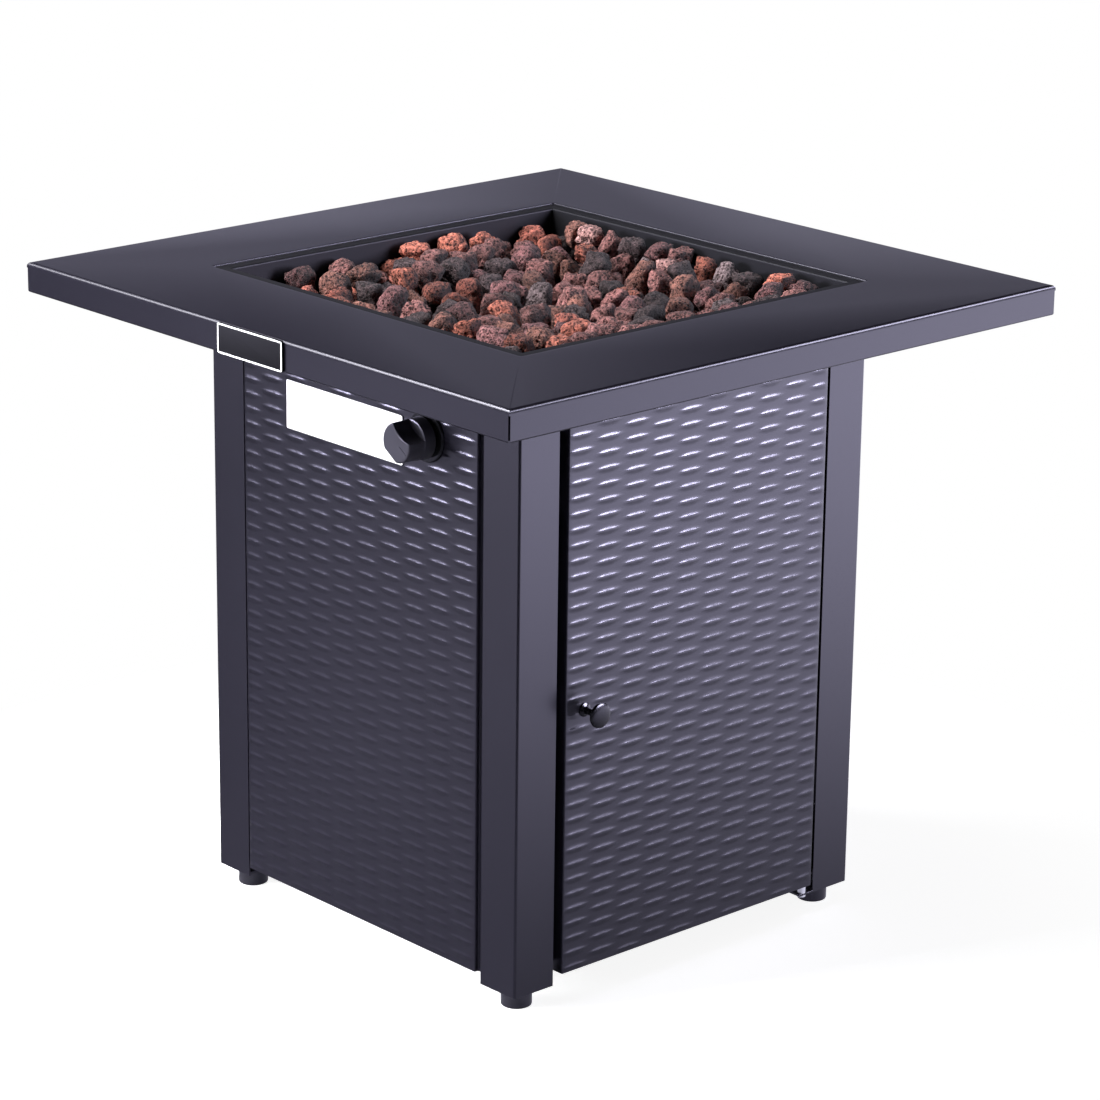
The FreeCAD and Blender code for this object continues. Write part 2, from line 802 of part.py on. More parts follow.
def heat_shield():
    """Plate under the burner, edges turned down, with a notch for the hose in its front edge."""
    side = post_inside - panel_sheet - shield_edge_gap
    door_side = door_back - shelf_edge_gap
    low = shield_height + shield_sheet - shield_flange
    plate = box((-side, -side, shield_height), (door_side, side, shield_height + shield_sheet))
    half_clear = post_inside - post_plate_size - 2
    skirts = []
    for x0, x1 in ((-side, -side + shield_sheet), (door_side - shield_sheet, door_side)):
        skirts.append(box((x0, -half_clear, low), (x1, half_clear, shield_height)))
    for y0, y1 in ((-side, -side + shield_sheet), (side - shield_sheet, side)):
        skirts.append(box((-half_clear, y0, low), (half_clear, y1, shield_height)))
    hose = -panel_face + panel_sheet + valve_flange + valve_depth / 2
    notch = box((valve_x - hose_notch_half, -side - 1, low - 5),
                (valve_x + hose_notch_half, hose + hose_notch_half, shield_height + 5))
    return cut(fuse(plate, *skirts), notch)


def burner_ring():
    """Ring burner with a cross tube, drilled along the top, on a threaded spud."""
    ring = Part.makeTorus(burner_radius, burner_tube, V(0, 0, burner_height), UP)
    cross = rod(burner_tube * 0.9, (-burner_radius, 0, burner_height), (burner_radius, 0, burner_height))
    hub = rod(spud_flange_radius * 0.75, (0, 0, pan_floor), (0, 0, burner_height + burner_tube))
    flange = rod(spud_flange_radius, (0, 0, pan_floor), (0, 0, pan_floor + spud_flange_height))
    spud = rod(spud_radius, (0, 0, pan_floor - spud_reach), (0, 0, pan_floor + 1))
    body = ring.fuse([cross, hub, flange, spud])
    bore = rod(spud_radius - 2.4, (0, 0, pan_floor - spud_reach - 1), (0, 0, burner_height))
    ports = []
    for k in range(burner_ports):
        angle = 2 * math.pi * (k + 0.5) / burner_ports
        x, y = burner_radius * math.cos(angle), burner_radius * math.sin(angle)
        ports.append(rod(burner_port, (x, y, burner_height), (x, y, burner_height + burner_tube + 1)))
    return cut(body, bore, *ports)


def spud_nut():
    """Lock nut that clamps the burner to the pan floor."""
    high = pan_floor - pan_sheet
    start, end = (0, 0, high - spud_nut_height), (0, 0, high)
    return cut(hexagon(spud_nut_flats, start, end), rod(spud_radius + running_gap, start, end))


def air_windows(radius):
    """Block that cuts two opposite air windows through a tube."""
    half = mixer_window_width / 2
    return box((-radius - 1, -half, window_bottom), (radius + 1, half, window_bottom + mixer_window_height))


def air_mixer():
    """Mixing tube on the spud, with two air windows, a closed foot and a side inlet."""
    tube = rod(mixer_radius, (0, 0, mixer_bottom), (0, 0, mixer_top))
    bore = rod(mixer_radius - mixer_wall, (0, 0, mixer_axis + mixer_floor), (0, 0, mixer_top + 1))
    inlet = rod(outlet_radius, (0, 0, mixer_axis), (0, -mixer_radius - outlet_reach, mixer_axis))
    return cut(fuse(tube, inlet), bore, air_windows(mixer_radius))


def air_shutter():
    """Loose sleeve with matching windows that turns on the mixer to set the air."""
    start = window_bottom - shutter_margin
    end = window_bottom + mixer_window_height + shutter_margin
    inner = mixer_radius + running_gap
    sleeve = rod(inner + shutter_wall, (0, 0, start), (0, 0, end))
    hole = rod(inner, (0, 0, start - 1), (0, 0, end + 1))
    return cut(sleeve, hole, air_windows(inner + shutter_wall))


def pilot_guard():
    """Slotted cover over the igniter and the flame sensor, with feet on the pan floor."""
    x0, x1 = guard_x - guard_length / 2, guard_x + guard_length / 2
    y0, y1 = guard_y - guard_width / 2, guard_y + guard_width / 2
    low, high = pan_floor, pan_floor + guard_height
    wall, rim, half = guard_sheet, guard_slot_end, guard_slot_width / 2
    cover = box((x0, y0, low), (x1, y1, high))
    hollow = box((x0 + wall, y0 + wall, low - 1), (x1 - wall, y1 - wall, high - wall))
    pitch = (guard_length - 2 * rim) / guard_slots
    slots = []
    for k in range(guard_slots):
        x = x0 + rim + pitch * (k + 0.5)
        slots.append(box((x - half, y0 - 1, low + rim), (x + half, y1 + 1, high - rim)))
        slots.append(box((x - half, y0 + rim, high - wall - 1), (x + half, y1 - rim, high + 1)))
    return cut(cover, hollow, *slots)


def igniter_electrode():
    """Ceramic sleeve through the pan floor with a bare rod on top."""
    x, y = guard_x - pilot_spread, guard_y
    top = pan_floor + electrode_height
    sleeve = rod(electrode_radius, (x, y, pan_floor - pilot_tail), (x, y, top))
    collar = rod(electrode_collar, (x, y, pan_floor), (x, y, pan_floor + pilot_collar_height))
    wire = rod(electrode_rod, (x, y, top), (x, y, top + electrode_rod_height))
    return fuse(sleeve, collar, wire)


def flame_sensor():
    """Thermocouple rod held by a small hexagon on the pan floor."""
    x, y = guard_x + pilot_spread, guard_y
    top = pan_floor + sensor_height - sensor_radius
    stem = rod(sensor_radius, (x, y, pan_floor - pilot_tail), (x, y, top))
    tip = Part.makeSphere(sensor_radius, V(x, y, top))
    grip = hexagon(sensor_flats, (x, y, pan_floor), (x, y, pan_floor + pilot_collar_height))
    return fuse(stem, tip, grip)


def at_valve(along):
    """Point on the valve's axis, so far out from the table's centre."""
    return (valve_x, -along, valve_z)


def valve_body():
    """Cast valve: flange against the panel, nose through it, block, outlet and inlet."""
    inside = panel_face - panel_sheet
    block_front = inside - valve_flange
    block_back = block_front - valve_depth
    flange = rod(valve_flange_radius, at_valve(inside), at_valve(block_front))
    nose = rod(valve_nose_radius, at_valve(block_front), at_valve(panel_face + valve_nose_reach))
    block = box((valve_x - valve_width / 2, -block_front, valve_z - valve_height / 2),
                (valve_x + valve_width / 2, -block_back, valve_z + valve_height / 2))
    upright = [edge for edge in block.Edges if edge.BoundBox.YLength > valve_depth - 1]
    block = block.makeFillet(4.0, upright)
    outlet = rod(outlet_radius, at_valve(block_back), at_valve(block_back - outlet_reach))
    y = -(block_front + block_back) / 2
    low = valve_z - valve_height / 2
    hexa = hexagon(inlet_hex_flats, (valve_x, y, low - inlet_hex_height), (valve_x, y, low))
    inlet = rod(inlet_radius, (valve_x, y, low - inlet_reach), (valve_x, y, low))
    body = fuse(block, flange, nose, outlet, hexa, inlet)
    nose_end = panel_face + valve_nose_reach
    seat = rod(valve_seat_radius, at_valve(nose_end + 1), at_valve(nose_end - valve_seat_depth))
    bore = rod(stem_radius + running_gap, at_valve(nose_end), at_valve(stem_bore_end))
    mouth = rod(inlet_bore, (valve_x, y, low - inlet_reach - 1), (valve_x, y, low))
    return cut(body, seat, bore, mouth)


def valve_seat():
    """Collar on the stem's spring: it slides in the nose when the knob is pushed."""
    nose_end = panel_face + valve_nose_reach
    start = nose_end - valve_seat_depth + push_travel + seat_gap
    ends = at_valve(start), at_valve(start + seat_height)
    return cut(rod(valve_seat_radius - seat_gap, *ends), rod(stem_radius + running_gap, *ends))


def valve_stem():
    """Stem that the knob turns."""
    back = stem_bore_end + push_travel + seat_gap
    return rod(stem_radius, at_valve(back), at_valve(knob_base + knob_skirt))


def knob_bezel():
    """Round plate on the panel around the valve's nose."""
    front = panel_face + bezel_height
    ring = cone(bezel_radius, bezel_radius - bezel_slope, at_valve(panel_face), at_valve(front))
    return cut(ring, rod(valve_nose_radius + bezel_gap, at_valve(panel_face - 1), at_valve(front + 1)))


def control_knob():
    """Round skirt with a grip on it, scooped hollow on one side and flat on the other."""
    shoulder = knob_base + knob_skirt
    skirt = cone(knob_radius, knob_shoulder_radius, at_valve(knob_base), at_valve(shoulder))
    barrel = cone(knob_shoulder_radius, knob_front_radius, at_valve(shoulder), at_valve(knob_front))
    scoop = rod(knob_scoop, at_valve(shoulder), at_valve(knob_front + 1))
    scoop.translate(V(0, 0, knob_grip_half + knob_scoop))
    below = valve_z - knob_flat
    flat = box((valve_x - knob_radius, -knob_front - 1, below - knob_radius),
               (valve_x + knob_radius, -shoulder, below))
    grip = cut(barrel, scoop, flat)
    front_edges = [edge for edge in grip.Edges if edge.BoundBox.YMax < -knob_front + 1e-3]
    grip = grip.makeFillet(knob_round, front_edges)
    knob = fuse(skirt, grip)
    socket = rod(stem_radius, at_valve(knob_base - 1), at_valve(shoulder))
    hollow = rod(knob_hollow, at_valve(knob_base - 1), at_valve(knob_base + knob_hollow_depth))
    knob = cut(knob, socket, hollow)
    knob.rotate(V(*at_valve(0)), V(0, -1, 0), knob_angle)
    return knob


def knob_pointer():
    """Raised white mark at one end of the grip bar."""
    end = knob_front_radius - knob_round - pointer_margin
    low = valve_z - pointer_width / 2
    mark = box((valve_x + end - pointer_length, -knob_front - pointer_proud, low),
               (valve_x + end, -knob_front, low + pointer_width))
    mark.rotate(V(*at_valve(0)), V(0, -1, 0), knob_angle)
    return mark


def feed_points():
    """Corners of the feed tube's route, from the valve's outlet to the mixer's inlet."""
    block_back = panel_face - panel_sheet - valve_flange - valve_depth
    start = V(valve_x, -(block_back - outlet_reach), valve_z)
    end = V(0, -mixer_radius - outlet_reach, mixer_axis)
    return [start, start + V(0, feed_straight, 0), end - V(0, feed_straight, 0), end]


def feed_tube():
    """Bent metal tube: straight ends joined by two wide bends."""
    points = feed_points()
    edges = []
    last = points[0]
    for k in (1, 2):
        back = points[k - 1] - points[k]
        ahead = points[k + 1] - points[k]
        run = min(back.Length, ahead.Length)
        half_turn = (math.pi - back.getAngle(ahead)) / 2
        back.normalize()
        ahead.normalize()
        reach = 0.45 * run
        radius = reach / math.tan(half_turn)
        middle = back + ahead
        middle.normalize()
        centre = points[k] + middle * (radius / math.cos(half_turn))
        first, second = points[k] + back * reach, points[k] + ahead * reach
        edges.append(Part.LineSegment(last, first).toShape())
        edges.append(Part.Arc(first, centre - middle * radius, second).toShape())
        last = second
        print("feed tube bend radius", round(radius, 1))
    edges.append(Part.LineSegment(last, points[3]).toShape())
    route = Part.Wire(edges)
    start = points[0]
    outer = Part.Wire(Part.makeCircle(feed_radius, start, V(0, 1, 0)))
    tube = route.makePipeShell([outer], True, False)
    bore = route.makePipeShell([Part.Wire(Part.makeCircle(feed_bore, start, V(0, 1, 0)))], True, False)
    return tube.cut(bore)


def feed_nuts():
    """Flare nuts at the two ends of the feed tube."""
    points = feed_points()
    nuts = []
    for end, away in ((points[0], 1), (points[3], -1)):
        start = end - V(0, away * feed_nut_length * 0.4, 0)
        finish = start + V(0, away * feed_nut_length, 0)
        nut = hexagon(feed_nut_flats, start, finish)
        port = rod(outlet_radius, start - V(0, away, 0), end)
        hole = rod(feed_radius + running_gap, end - V(0, away, 0), finish + V(0, away, 0))
        nuts.append(cut(nut, port, hole))
    return Part.makeCompound(nuts)


def clip(faces, normal, offset):
    """Part of a convex solid, given as loops of points, that lies behind a plane."""
    kept, rim = [], []
    for loop in faces:
        new = []
        for a, b in zip(loop, loop[1:] + loop[:1]):
            over_a, over_b = normal.dot(a) - offset, normal.dot(b) - offset
            if over_a <= 0:
                new.append(a)
            if over_a * over_b < 0:
                crossing = a + (b - a) * (over_a / (over_a - over_b))
                new.append(crossing)
                rim.append(crossing)
        if len(new) > 2:
            kept.append(new)
    if len(rim) < 3:
        return kept
    centre = V(0, 0, 0)
    for point in rim:
        centre += point * (1.0 / len(rim))
    side = rim[0] - centre
    side.normalize()
    other = normal.cross(side)
    rim.sort(key=lambda point: math.atan2((point - centre).dot(other), (point - centre).dot(side)))
    cap = [point for k, point in enumerate(rim) if (point - rim[k - 1]).Length > 1e-5]
    if len(cap) > 2:
        kept.append(cap)
    return kept


def deepest(faces, normal, offset):
    """How far a convex solid reaches past a plane."""
    return max(normal.dot(point) - offset for loop in faces for point in loop)


def burner_planes(point):
    """Planes that keep a stone off the burner's ring, cross tube and hub, with its distances."""
    flat = V(point.x, point.y, 0)
    flat.normalize()
    reach = max(-burner_radius, min(burner_radius, point.x))
    places = [(flat * burner_radius + V(0, 0, burner_height), burner_tube + rock_ring_gap),
              (V(reach, 0, burner_height), burner_tube + rock_gap),
              (V(0, 0, min(point.z, burner_height + burner_tube)), spud_flange_radius + rock_gap)]
    planes = []
    for place, keep in places:
        towards = place - point
        distance = towards.Length
        towards.normalize()
        planes.append((towards, towards.dot(point) + distance - keep, distance - keep))
    return planes


def guard_plane(point):
    """Plane of the pilot guard's side that faces a point: normal towards the guard, offset, distance."""
    x0, x1 = guard_x - guard_length / 2 - rock_gap, guard_x + guard_length / 2 + rock_gap
    y0, y1 = guard_y - guard_width / 2 - rock_gap, guard_y + guard_width / 2 + rock_gap
    high = pan_floor + guard_height + rock_gap
    sides = [(V(1, 0, 0), x0, x0 - point.x), (V(-1, 0, 0), -x1, point.x - x1),
             (V(0, 1, 0), y0, y0 - point.y), (V(0, -1, 0), -y1, point.y - y1),
             (V(0, 0, -1), -high, point.z - high)]
    return max(sides, key=lambda side: side[2])


def rock_seeds(chance):
    """Middle points of the stones: two layers, single stones on top and a drift along three walls."""
    pitch = 2 * pan_inside / rock_rows
    wide = 2 * pan_inside / rock_lower_rows
    wall = pan_inside - pitch / 2
    top = rock_top_height
    places = [(x, wall, top) for x in rock_perches]
    for i in range(rock_rows):
        for j in range(rock_rows):
            depth = min(i, rock_rows - 1 - i, rock_rows - 1 - j)
            if depth < rock_drift_rows and j > 1 and chance.random() < rock_drift_share:
                places.append((-wall + pitch * i, -wall + pitch * j, top - rock_drift_fall * depth))
    for step, rows, height in ((wide, rock_lower_rows, rock_lower_height),
                               (pitch, rock_rows, rock_upper_height)):
        first = -pan_inside + step / 2
        places += [(first + step * i, first + step * j, height) for i in range(rows) for j in range(rows)]
    seeds = []
    for x, y, height in places:
        slip = rock_jitter * (wide if height < rock_upper_height else pitch)
        # a stone beside a wall may slip along it but not into it
        x = max(-wall, min(wall, x + chance.uniform(-slip, slip)))
        y = max(-wall, min(wall, y + chance.uniform(-slip, slip)))
        seed = V(x, y, pan_floor + height + chance.uniform(-rock_spread, rock_spread))
        room = min(plane[2] for plane in burner_planes(seed) + [guard_plane(seed)])
        apart = min([(other - seed).Length for other in seeds], default=pitch)
        if room > rock_least_room and apart > rock_least_spacing:
            seeds.append(seed)
    return seeds


def rock_planes(seed, seeds):
    """Planes that part a stone from its neighbours, the pan, the burner and the guard."""
    planes = []
    reach = 4 * pan_inside / rock_lower_rows
    for other in seeds:
        between = other - seed
        if 0 < between.Length < reach:
            middle = (other + seed) * 0.5
            between.normalize()
            planes.append((between, between.dot(middle) - rock_gap / 2))
    wall = pan_inside - rock_gap
    for direction in (V(1, 0, 0), V(-1, 0, 0), V(0, 1, 0), V(0, -1, 0)):
        planes.append((direction, wall))
    planes.append((V(0, 0, -1), -(pan_floor + rock_gap)))
    for normal, offset, _ in burner_planes(seed) + [guard_plane(seed)]:
        planes.append((normal, offset))
    return planes


def rock(seed, seeds, chance):
    """One broken stone: a block cut back to its room in the heap, then chipped all round on top."""
    reach = rock_upper_height
    faces = []
    for axis in (0, 1, 2):
        for sign in (-1, 1):
            corners = []
            for a, b in ((-1, -1), (1, -1), (1, 1), (-1, 1)):
                spot = [0, 0, 0]
                spot[axis] = sign
                spot[(axis + 1) % 3] = a * sign
                spot[(axis + 2) % 3] = b
                corners.append(seed + V(*spot) * reach)
            faces.append(corners)
    for normal, offset in rock_planes(seed, seeds):
        faces = clip(faces, normal, offset)
    highest = table_height - rock_top_margin
    faces = clip(faces, UP, min(highest, seed.z + rock_crown * chance.uniform(0.8, 1.2)))
    turn = chance.uniform(0, 360)
    for k in range(rock_cuts):
        angle = math.radians(turn + 360 * k / rock_cuts + chance.uniform(-20, 20))
        # every second chip is nearly upright, so that neighbours stand apart
        lift = math.radians(chance.uniform(-10, 25) if k % 2 else chance.uniform(25, 60))
        normal = V(math.cos(angle) * math.cos(lift), math.sin(angle) * math.cos(lift), math.sin(lift))
        offset = normal.dot(seed) + rock_crown * chance.uniform(1.0, 1.3)
        if seed.z > pan_floor + rock_upper_height / 2 and deepest(faces, normal, offset) > rock_least_cut:
            faces = clip(faces, normal, offset)
    shell = Part.Shell([Part.Face(Part.makePolygon(loop + loop[:1])) for loop in faces])
    return Part.Solid(shell)


def lava_rocks():
    """Heap of separate broken stones that fill the pan and bear on one another."""
    chance = random.Random(rock_seed)
    seeds = rock_seeds(chance)
    return Part.makeCompound([rock(seed, seeds, chance) for seed in seeds])


def parts():
    """Every piece with its name."""
    pieces = {
        "table_top": table_top(),
        "name_plate": name_plate(),
        "burner_pan": burner_pan(),
        "top_nuts": top_nuts(),
        "top_rail_front": top_rail(0),
        "top_rail_right": top_rail(90, hinge_tab=True),
        "top_rail_back": top_rail(180),
        "top_rail_left": top_rail(270),
        "post_front_left": corner_post(0, True, True),
        "post_front_right": corner_post(90, False, True),
        "post_back_right": corner_post(180, True, False, hinge_tab=True),
        "post_back_left": corner_post(270, True, True),
        "front_panel": side_panel(0, valve_hole=True),
        "back_panel": side_panel(180),
        "left_panel": side_panel(270),
        "panel_nuts": panel_nuts(),
        "door_panel": door_panel(),
        "door_knob": door_knob(),
        "door_knob_screw": door_knob_fixing(),
        "lower_hinge_pin": lower_hinge_pin(),
        "upper_hinge_pin": upper_hinge_pin(),
        "magnet_catch": magnet_catch(),
        "bottle_shelf": bottle_shelf(),
        "shelf_screws": shelf_screws(),
        "heat_shield": heat_shield(),
        "burner_ring": burner_ring(),
        "spud_nut": spud_nut(),
        "air_mixer": air_mixer(),
        "air_shutter": air_shutter(),
        "pilot_guard": pilot_guard(),
        "igniter_electrode": igniter_electrode(),
        "flame_sensor": flame_sensor(),
        "valve_body": valve_body(),
        "valve_seat": valve_seat(),
        "valve_stem": valve_stem(),
        "knob_bezel": knob_bezel(),
        "control_knob": control_knob(),
        "knob_pointer": knob_pointer(),
        "feed_tube": feed_tube(),
        "feed_nuts": feed_nuts(),
        "lava_rocks": lava_rocks(),
    }
    names = ("front_left", "front_right", "back_right", "back_left")
    for k, name in enumerate(names):
        pieces["foot_pad_" + name] = foot_pad(90 * k)
        pieces["foot_stud_" + name] = foot_stud(90 * k)
    return pieces


os.makedirs("parts", exist_ok=True)
for name, shape in parts().items():
    print(name, "solids", len(shape.Solids), "valid", shape.isValid(), "volume", round(shape.Volume, 1))
    shape.exportStep("parts/" + name + ".step")
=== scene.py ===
import json
import math
import bpy
import bmesh
import numpy as np
from mathutils import Matrix

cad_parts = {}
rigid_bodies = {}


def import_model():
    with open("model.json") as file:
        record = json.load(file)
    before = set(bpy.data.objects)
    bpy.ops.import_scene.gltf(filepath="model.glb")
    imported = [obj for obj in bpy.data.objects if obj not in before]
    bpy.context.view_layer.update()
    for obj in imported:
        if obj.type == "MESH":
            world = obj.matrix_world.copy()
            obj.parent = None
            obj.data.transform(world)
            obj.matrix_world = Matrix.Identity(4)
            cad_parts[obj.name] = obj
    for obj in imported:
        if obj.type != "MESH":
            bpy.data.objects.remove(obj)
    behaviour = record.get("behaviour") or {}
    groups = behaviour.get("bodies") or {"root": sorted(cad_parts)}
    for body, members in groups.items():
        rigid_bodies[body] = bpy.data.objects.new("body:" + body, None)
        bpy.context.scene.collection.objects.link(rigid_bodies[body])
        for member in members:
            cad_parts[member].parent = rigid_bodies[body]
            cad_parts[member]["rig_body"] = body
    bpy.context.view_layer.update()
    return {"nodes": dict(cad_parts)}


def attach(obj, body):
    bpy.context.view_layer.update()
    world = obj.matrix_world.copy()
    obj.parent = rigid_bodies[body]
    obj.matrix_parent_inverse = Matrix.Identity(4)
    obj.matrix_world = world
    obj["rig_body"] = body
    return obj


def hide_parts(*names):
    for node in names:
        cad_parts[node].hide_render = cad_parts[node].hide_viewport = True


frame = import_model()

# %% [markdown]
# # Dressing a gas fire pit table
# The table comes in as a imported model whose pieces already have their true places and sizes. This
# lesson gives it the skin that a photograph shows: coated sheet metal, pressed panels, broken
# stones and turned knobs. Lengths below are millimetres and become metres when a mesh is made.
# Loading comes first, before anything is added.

nodes = frame["nodes"]

# %% [markdown]
# # Meshes from arrays
# A surface is worked out as one numpy array of points: rows run one way over it, columns the
# other. The faces then only depend on the counts. Rings are closed along their columns, sheets are
# open. Writing this once keeps each later piece down to its own formula.

# %% Faces for rings and sheets
def ring_faces(rows, columns):
    """Squares between closed rings: point j of a ring joins j + 1, and the last joins the first."""
    i, j = np.meshgrid(np.arange(rows - 1) * columns, np.arange(columns), indexing="ij")
    k = (j + 1) % columns
    return np.stack([i + j, i + k, i + k + columns, i + j + columns], -1).reshape(-1, 4).tolist()


def sheet_faces(rows, columns, start=0):
    """Squares of an open grid, row by row, its points numbered from start."""
    i, j = np.meshgrid(np.arange(rows - 1) * columns, np.arange(columns - 1), indexing="ij")
    a = i + j + start
    return np.stack([a, a + 1, a + columns + 1, a + columns], -1).reshape(-1, 4).tolist()


print("grid of 3 by 4 has", len(sheet_faces(3, 4)), "faces")

# %% Solids from rings
def ringed(rings):
    """Closed solid from a stack of rings (rows, columns, 3): walls, and a flat lid at each end."""
    rings = np.asarray(rings, float)
    rows, columns = rings.shape[:2]
    lids = [list(range(columns))[::-1], list(range((rows - 1) * columns, rows * columns))]
    return rings.reshape(-1, 3), ring_faces(rows, columns) + lids


def tube(rings):
    """Closed tube from a stack of rings: walls, and the last ring joined to the first."""
    rings = np.asarray(rings, float)
    rows, columns = rings.shape[:2]
    last, total = (rows - 1) * columns, rows * columns
    seam = [[(n + last) % total for n in loop] for loop in ring_faces(2, columns)]
    return rings.reshape(-1, 3), ring_faces(rows, columns) + seam


def full_turn(sides):
    """Angles of one turn, without the last, which is the first again."""
    return np.linspace(0, 2 * math.pi, sides + 1)[:-1]


def polar_ring(radius, angle, height):
    """Points (r cos a, r sin a, h): one radius and height for all angles, or one for each."""
    return np.stack([radius * np.cos(angle), radius * np.sin(angle), height + 0 * angle], -1)


cube, walls = ringed([polar_ring(1.0, full_turn(4), h) for h in (0.0, 1.0)])
print("a square prism has", len(cube), "points and", len(walls), "faces")

# %% Several shapes as one
def joined(shapes):
    """Several (points, faces) shapes as one, the face numbers moved up by the points before them."""
    points, faces, start = [], [], 0
    for more, loops in shapes:
        points.append(np.asarray(more, float))
        faces += [[n + start for n in loop] for loop in loops]
        start += len(more)
    return np.concatenate(points), faces


print("two prisms have", len(joined([(cube, walls), (cube + 2.0, walls)])[1]), "faces")

# %% [markdown]
# # Pieces that belong to the table
# Each piece moves with one body of the model, takes its finish from one slot and may stand for a
# node. Smooth shading with sharp edges kept by angle is what makes pressed metal look pressed: soft
# bends and crisp cut edges on the same mesh.

# %% Placing and mesh steps
def placed(name, data):
    """Object for a mesh, a lamp or a camera, put in the scene."""
    thing = bpy.data.objects.new(name, data)
    bpy.context.scene.collection.objects.link(thing)
    return thing


def reworked(mesh, *steps):
    """Runs mesh steps, functions of the opened mesh, and writes the result back."""
    work = bmesh.new()
    work.from_mesh(mesh)
    for step in steps:
        step(work)
    work.to_mesh(mesh)
    work.free()


def weld(distance):
    """Step that merges points closer than the distance, in metres."""
    return lambda work: bmesh.ops.remove_doubles(work, verts=work.verts, dist=distance)


def outward(work):
    """Step that turns all faces outwards, worked out anew for every closed shell."""
    bmesh.ops.recalc_face_normals(work, faces=work.faces)


def whole_flats(work):
    """Step that turns flat patches of triangles into whole faces, so that a bevel can follow them."""
    bmesh.ops.dissolve_limit(work, angle_limit=math.radians(0.5), verts=work.verts, edges=work.edges)


def smooth(mesh, crease):
    """Smooth shading; edges sharper than the crease, in degrees, stay sharp."""
    mesh.shade_smooth()
    mesh.set_sharp_from_angle(angle=math.radians(crease))


# %% A new piece
finishes = {}


def dressed(thing, body, slot, stands_for=()):
    """Puts a finished mesh object on its body, with its slot's material."""
    thing.data.materials.clear()
    thing.data.materials.append(finishes[slot])
    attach(thing, body)
    if stands_for:
        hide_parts(*stands_for)
    return thing


def make_piece(name, shape, body, slot, stands_for=(), crease=35.0, turn_out=True):
    """Mesh object from points in millimetres and faces, its faces turned outwards if asked."""
    points, faces = shape
    mesh = bpy.data.meshes.new(name)
    mesh.from_pydata((np.asarray(points) * 0.001).tolist(), [], faces)
    mesh.update()
    if turn_out:
        reworked(mesh, outward)
    smooth(mesh, crease)
    return dressed(placed(name, mesh), body, slot, stands_for)


print("finishes so far:", len(finishes))

# %% A merged copy of a node
def even_shading(thing):
    """Lets large flat faces rule the shading, so that a flat sheet stays flat up to its bend."""
    soft = thing.modifiers.new("even_shading", "WEIGHTED_NORMAL")
    soft.keep_sharp = True
    soft.weight = 80


def merged_copy(node, slot, crease=28.0, edge=0.0):
    """Copy of a node's loose triangles, welded and smoothed, its sharp edges eased by a small bevel."""
    mesh = nodes[node].data.copy()
    mesh.name = "dressed_" + node
    reworked(mesh, weld(2e-6), *([whole_flats] if edge else []))
    if "custom_normal" in mesh.attributes:
        mesh.attributes.remove(mesh.attributes["custom_normal"])
    smooth(mesh, crease)
    thing = placed(mesh.name, mesh)
    if edge:
        bevel = thing.modifiers.new("eased_edge", "BEVEL")
        bevel.width = edge * 0.001
        bevel.segments = 2
        bevel.limit_method = "ANGLE"
        bevel.angle_limit = math.radians(40)
        bevel.harden_normals = False
    even_shading(thing)
    return dressed(thing, nodes[node]["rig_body"], slot, [node])


print("nodes to dress:", len(nodes))

# %% [markdown]
# # The camera
# The photograph was taken with a long lens from the right front, a little above the top. A long
# lens keeps the four sides of the top nearly parallel. The place and the turn are written as a
# matrix: its columns are the camera's right, its up and its back.

# %% Camera
def photo_camera(place, azimuth, elevation, roll, lens):
    """Camera whose view direction is worked out from azimuth and elevation, then rolled."""
    a, e, r = (math.radians(v) for v in (azimuth, elevation, roll))
    ahead = np.array([-math.sin(a) * math.cos(e), math.cos(a) * math.cos(e), -math.sin(e)])
    right = np.array([math.cos(a), math.sin(a), 0.0])
    up = np.cross(right, ahead)
    right, up = (right * math.cos(r) + up * math.sin(r), up * math.cos(r) - right * math.sin(r))
    data = bpy.data.cameras.new("photo_camera")
    data.lens, data.sensor_width, data.clip_end = lens, 36.0, 60.0
    camera = placed("photo_camera", data)
    turn = Matrix(np.column_stack([right, up, -ahead]).tolist()).to_4x4()
    camera.matrix_world = Matrix.Translation(place) @ turn
    bpy.context.scene.camera = camera
    return camera


camera = photo_camera((2.7364, -2.4915, 1.5310), 47.457, 17.5, 0.711, 127.3)
print("camera at", tuple(round(v, 3) for v in camera.location))

# %% [markdown]
# # Small tools for materials
# A material is a small network: coordinates go into patterns, patterns into numbers and colours,
# and those into one shader. These helpers only save typing. A value that is a socket gets linked,
# and any other value is written into the socket.

# %% Node helpers
def join(tree, value, socket):
    """Links a socket, or writes a plain value into it."""
    if isinstance(value, bpy.types.NodeSocket):
        tree.links.new(value, socket)
    else:
        socket.default_value = value


def add(tree, kind, settings=None, **values):
    """New node of a kind, its settings and its inputs filled by name."""
    node = tree.nodes.new("ShaderNode" + kind)
    for key, value in (settings or {}).items():
        setattr(node, key, value)
    for key, value in values.items():
        join(tree, value, node.inputs[key.replace("_", " ")])
    return node


def calc(tree, operation, *values):
    """Output of a Math node."""
    node = add(tree, "Math", {"operation": operation})
    for value, socket in zip(values, node.inputs):
        join(tree, value, socket)
    return node.outputs[0]


def steer(tree, operation, *values):
    """Output of a Vector Math node: a number for a length or a dot product, else a vector."""
    node = add(tree, "VectorMath", {"operation": operation})
    for value, socket in zip(values, node.inputs):
        join(tree, value, socket)
    return node.outputs["Value" if operation in ("LENGTH", "DOT_PRODUCT") else "Vector"]


print("number nodes ready")

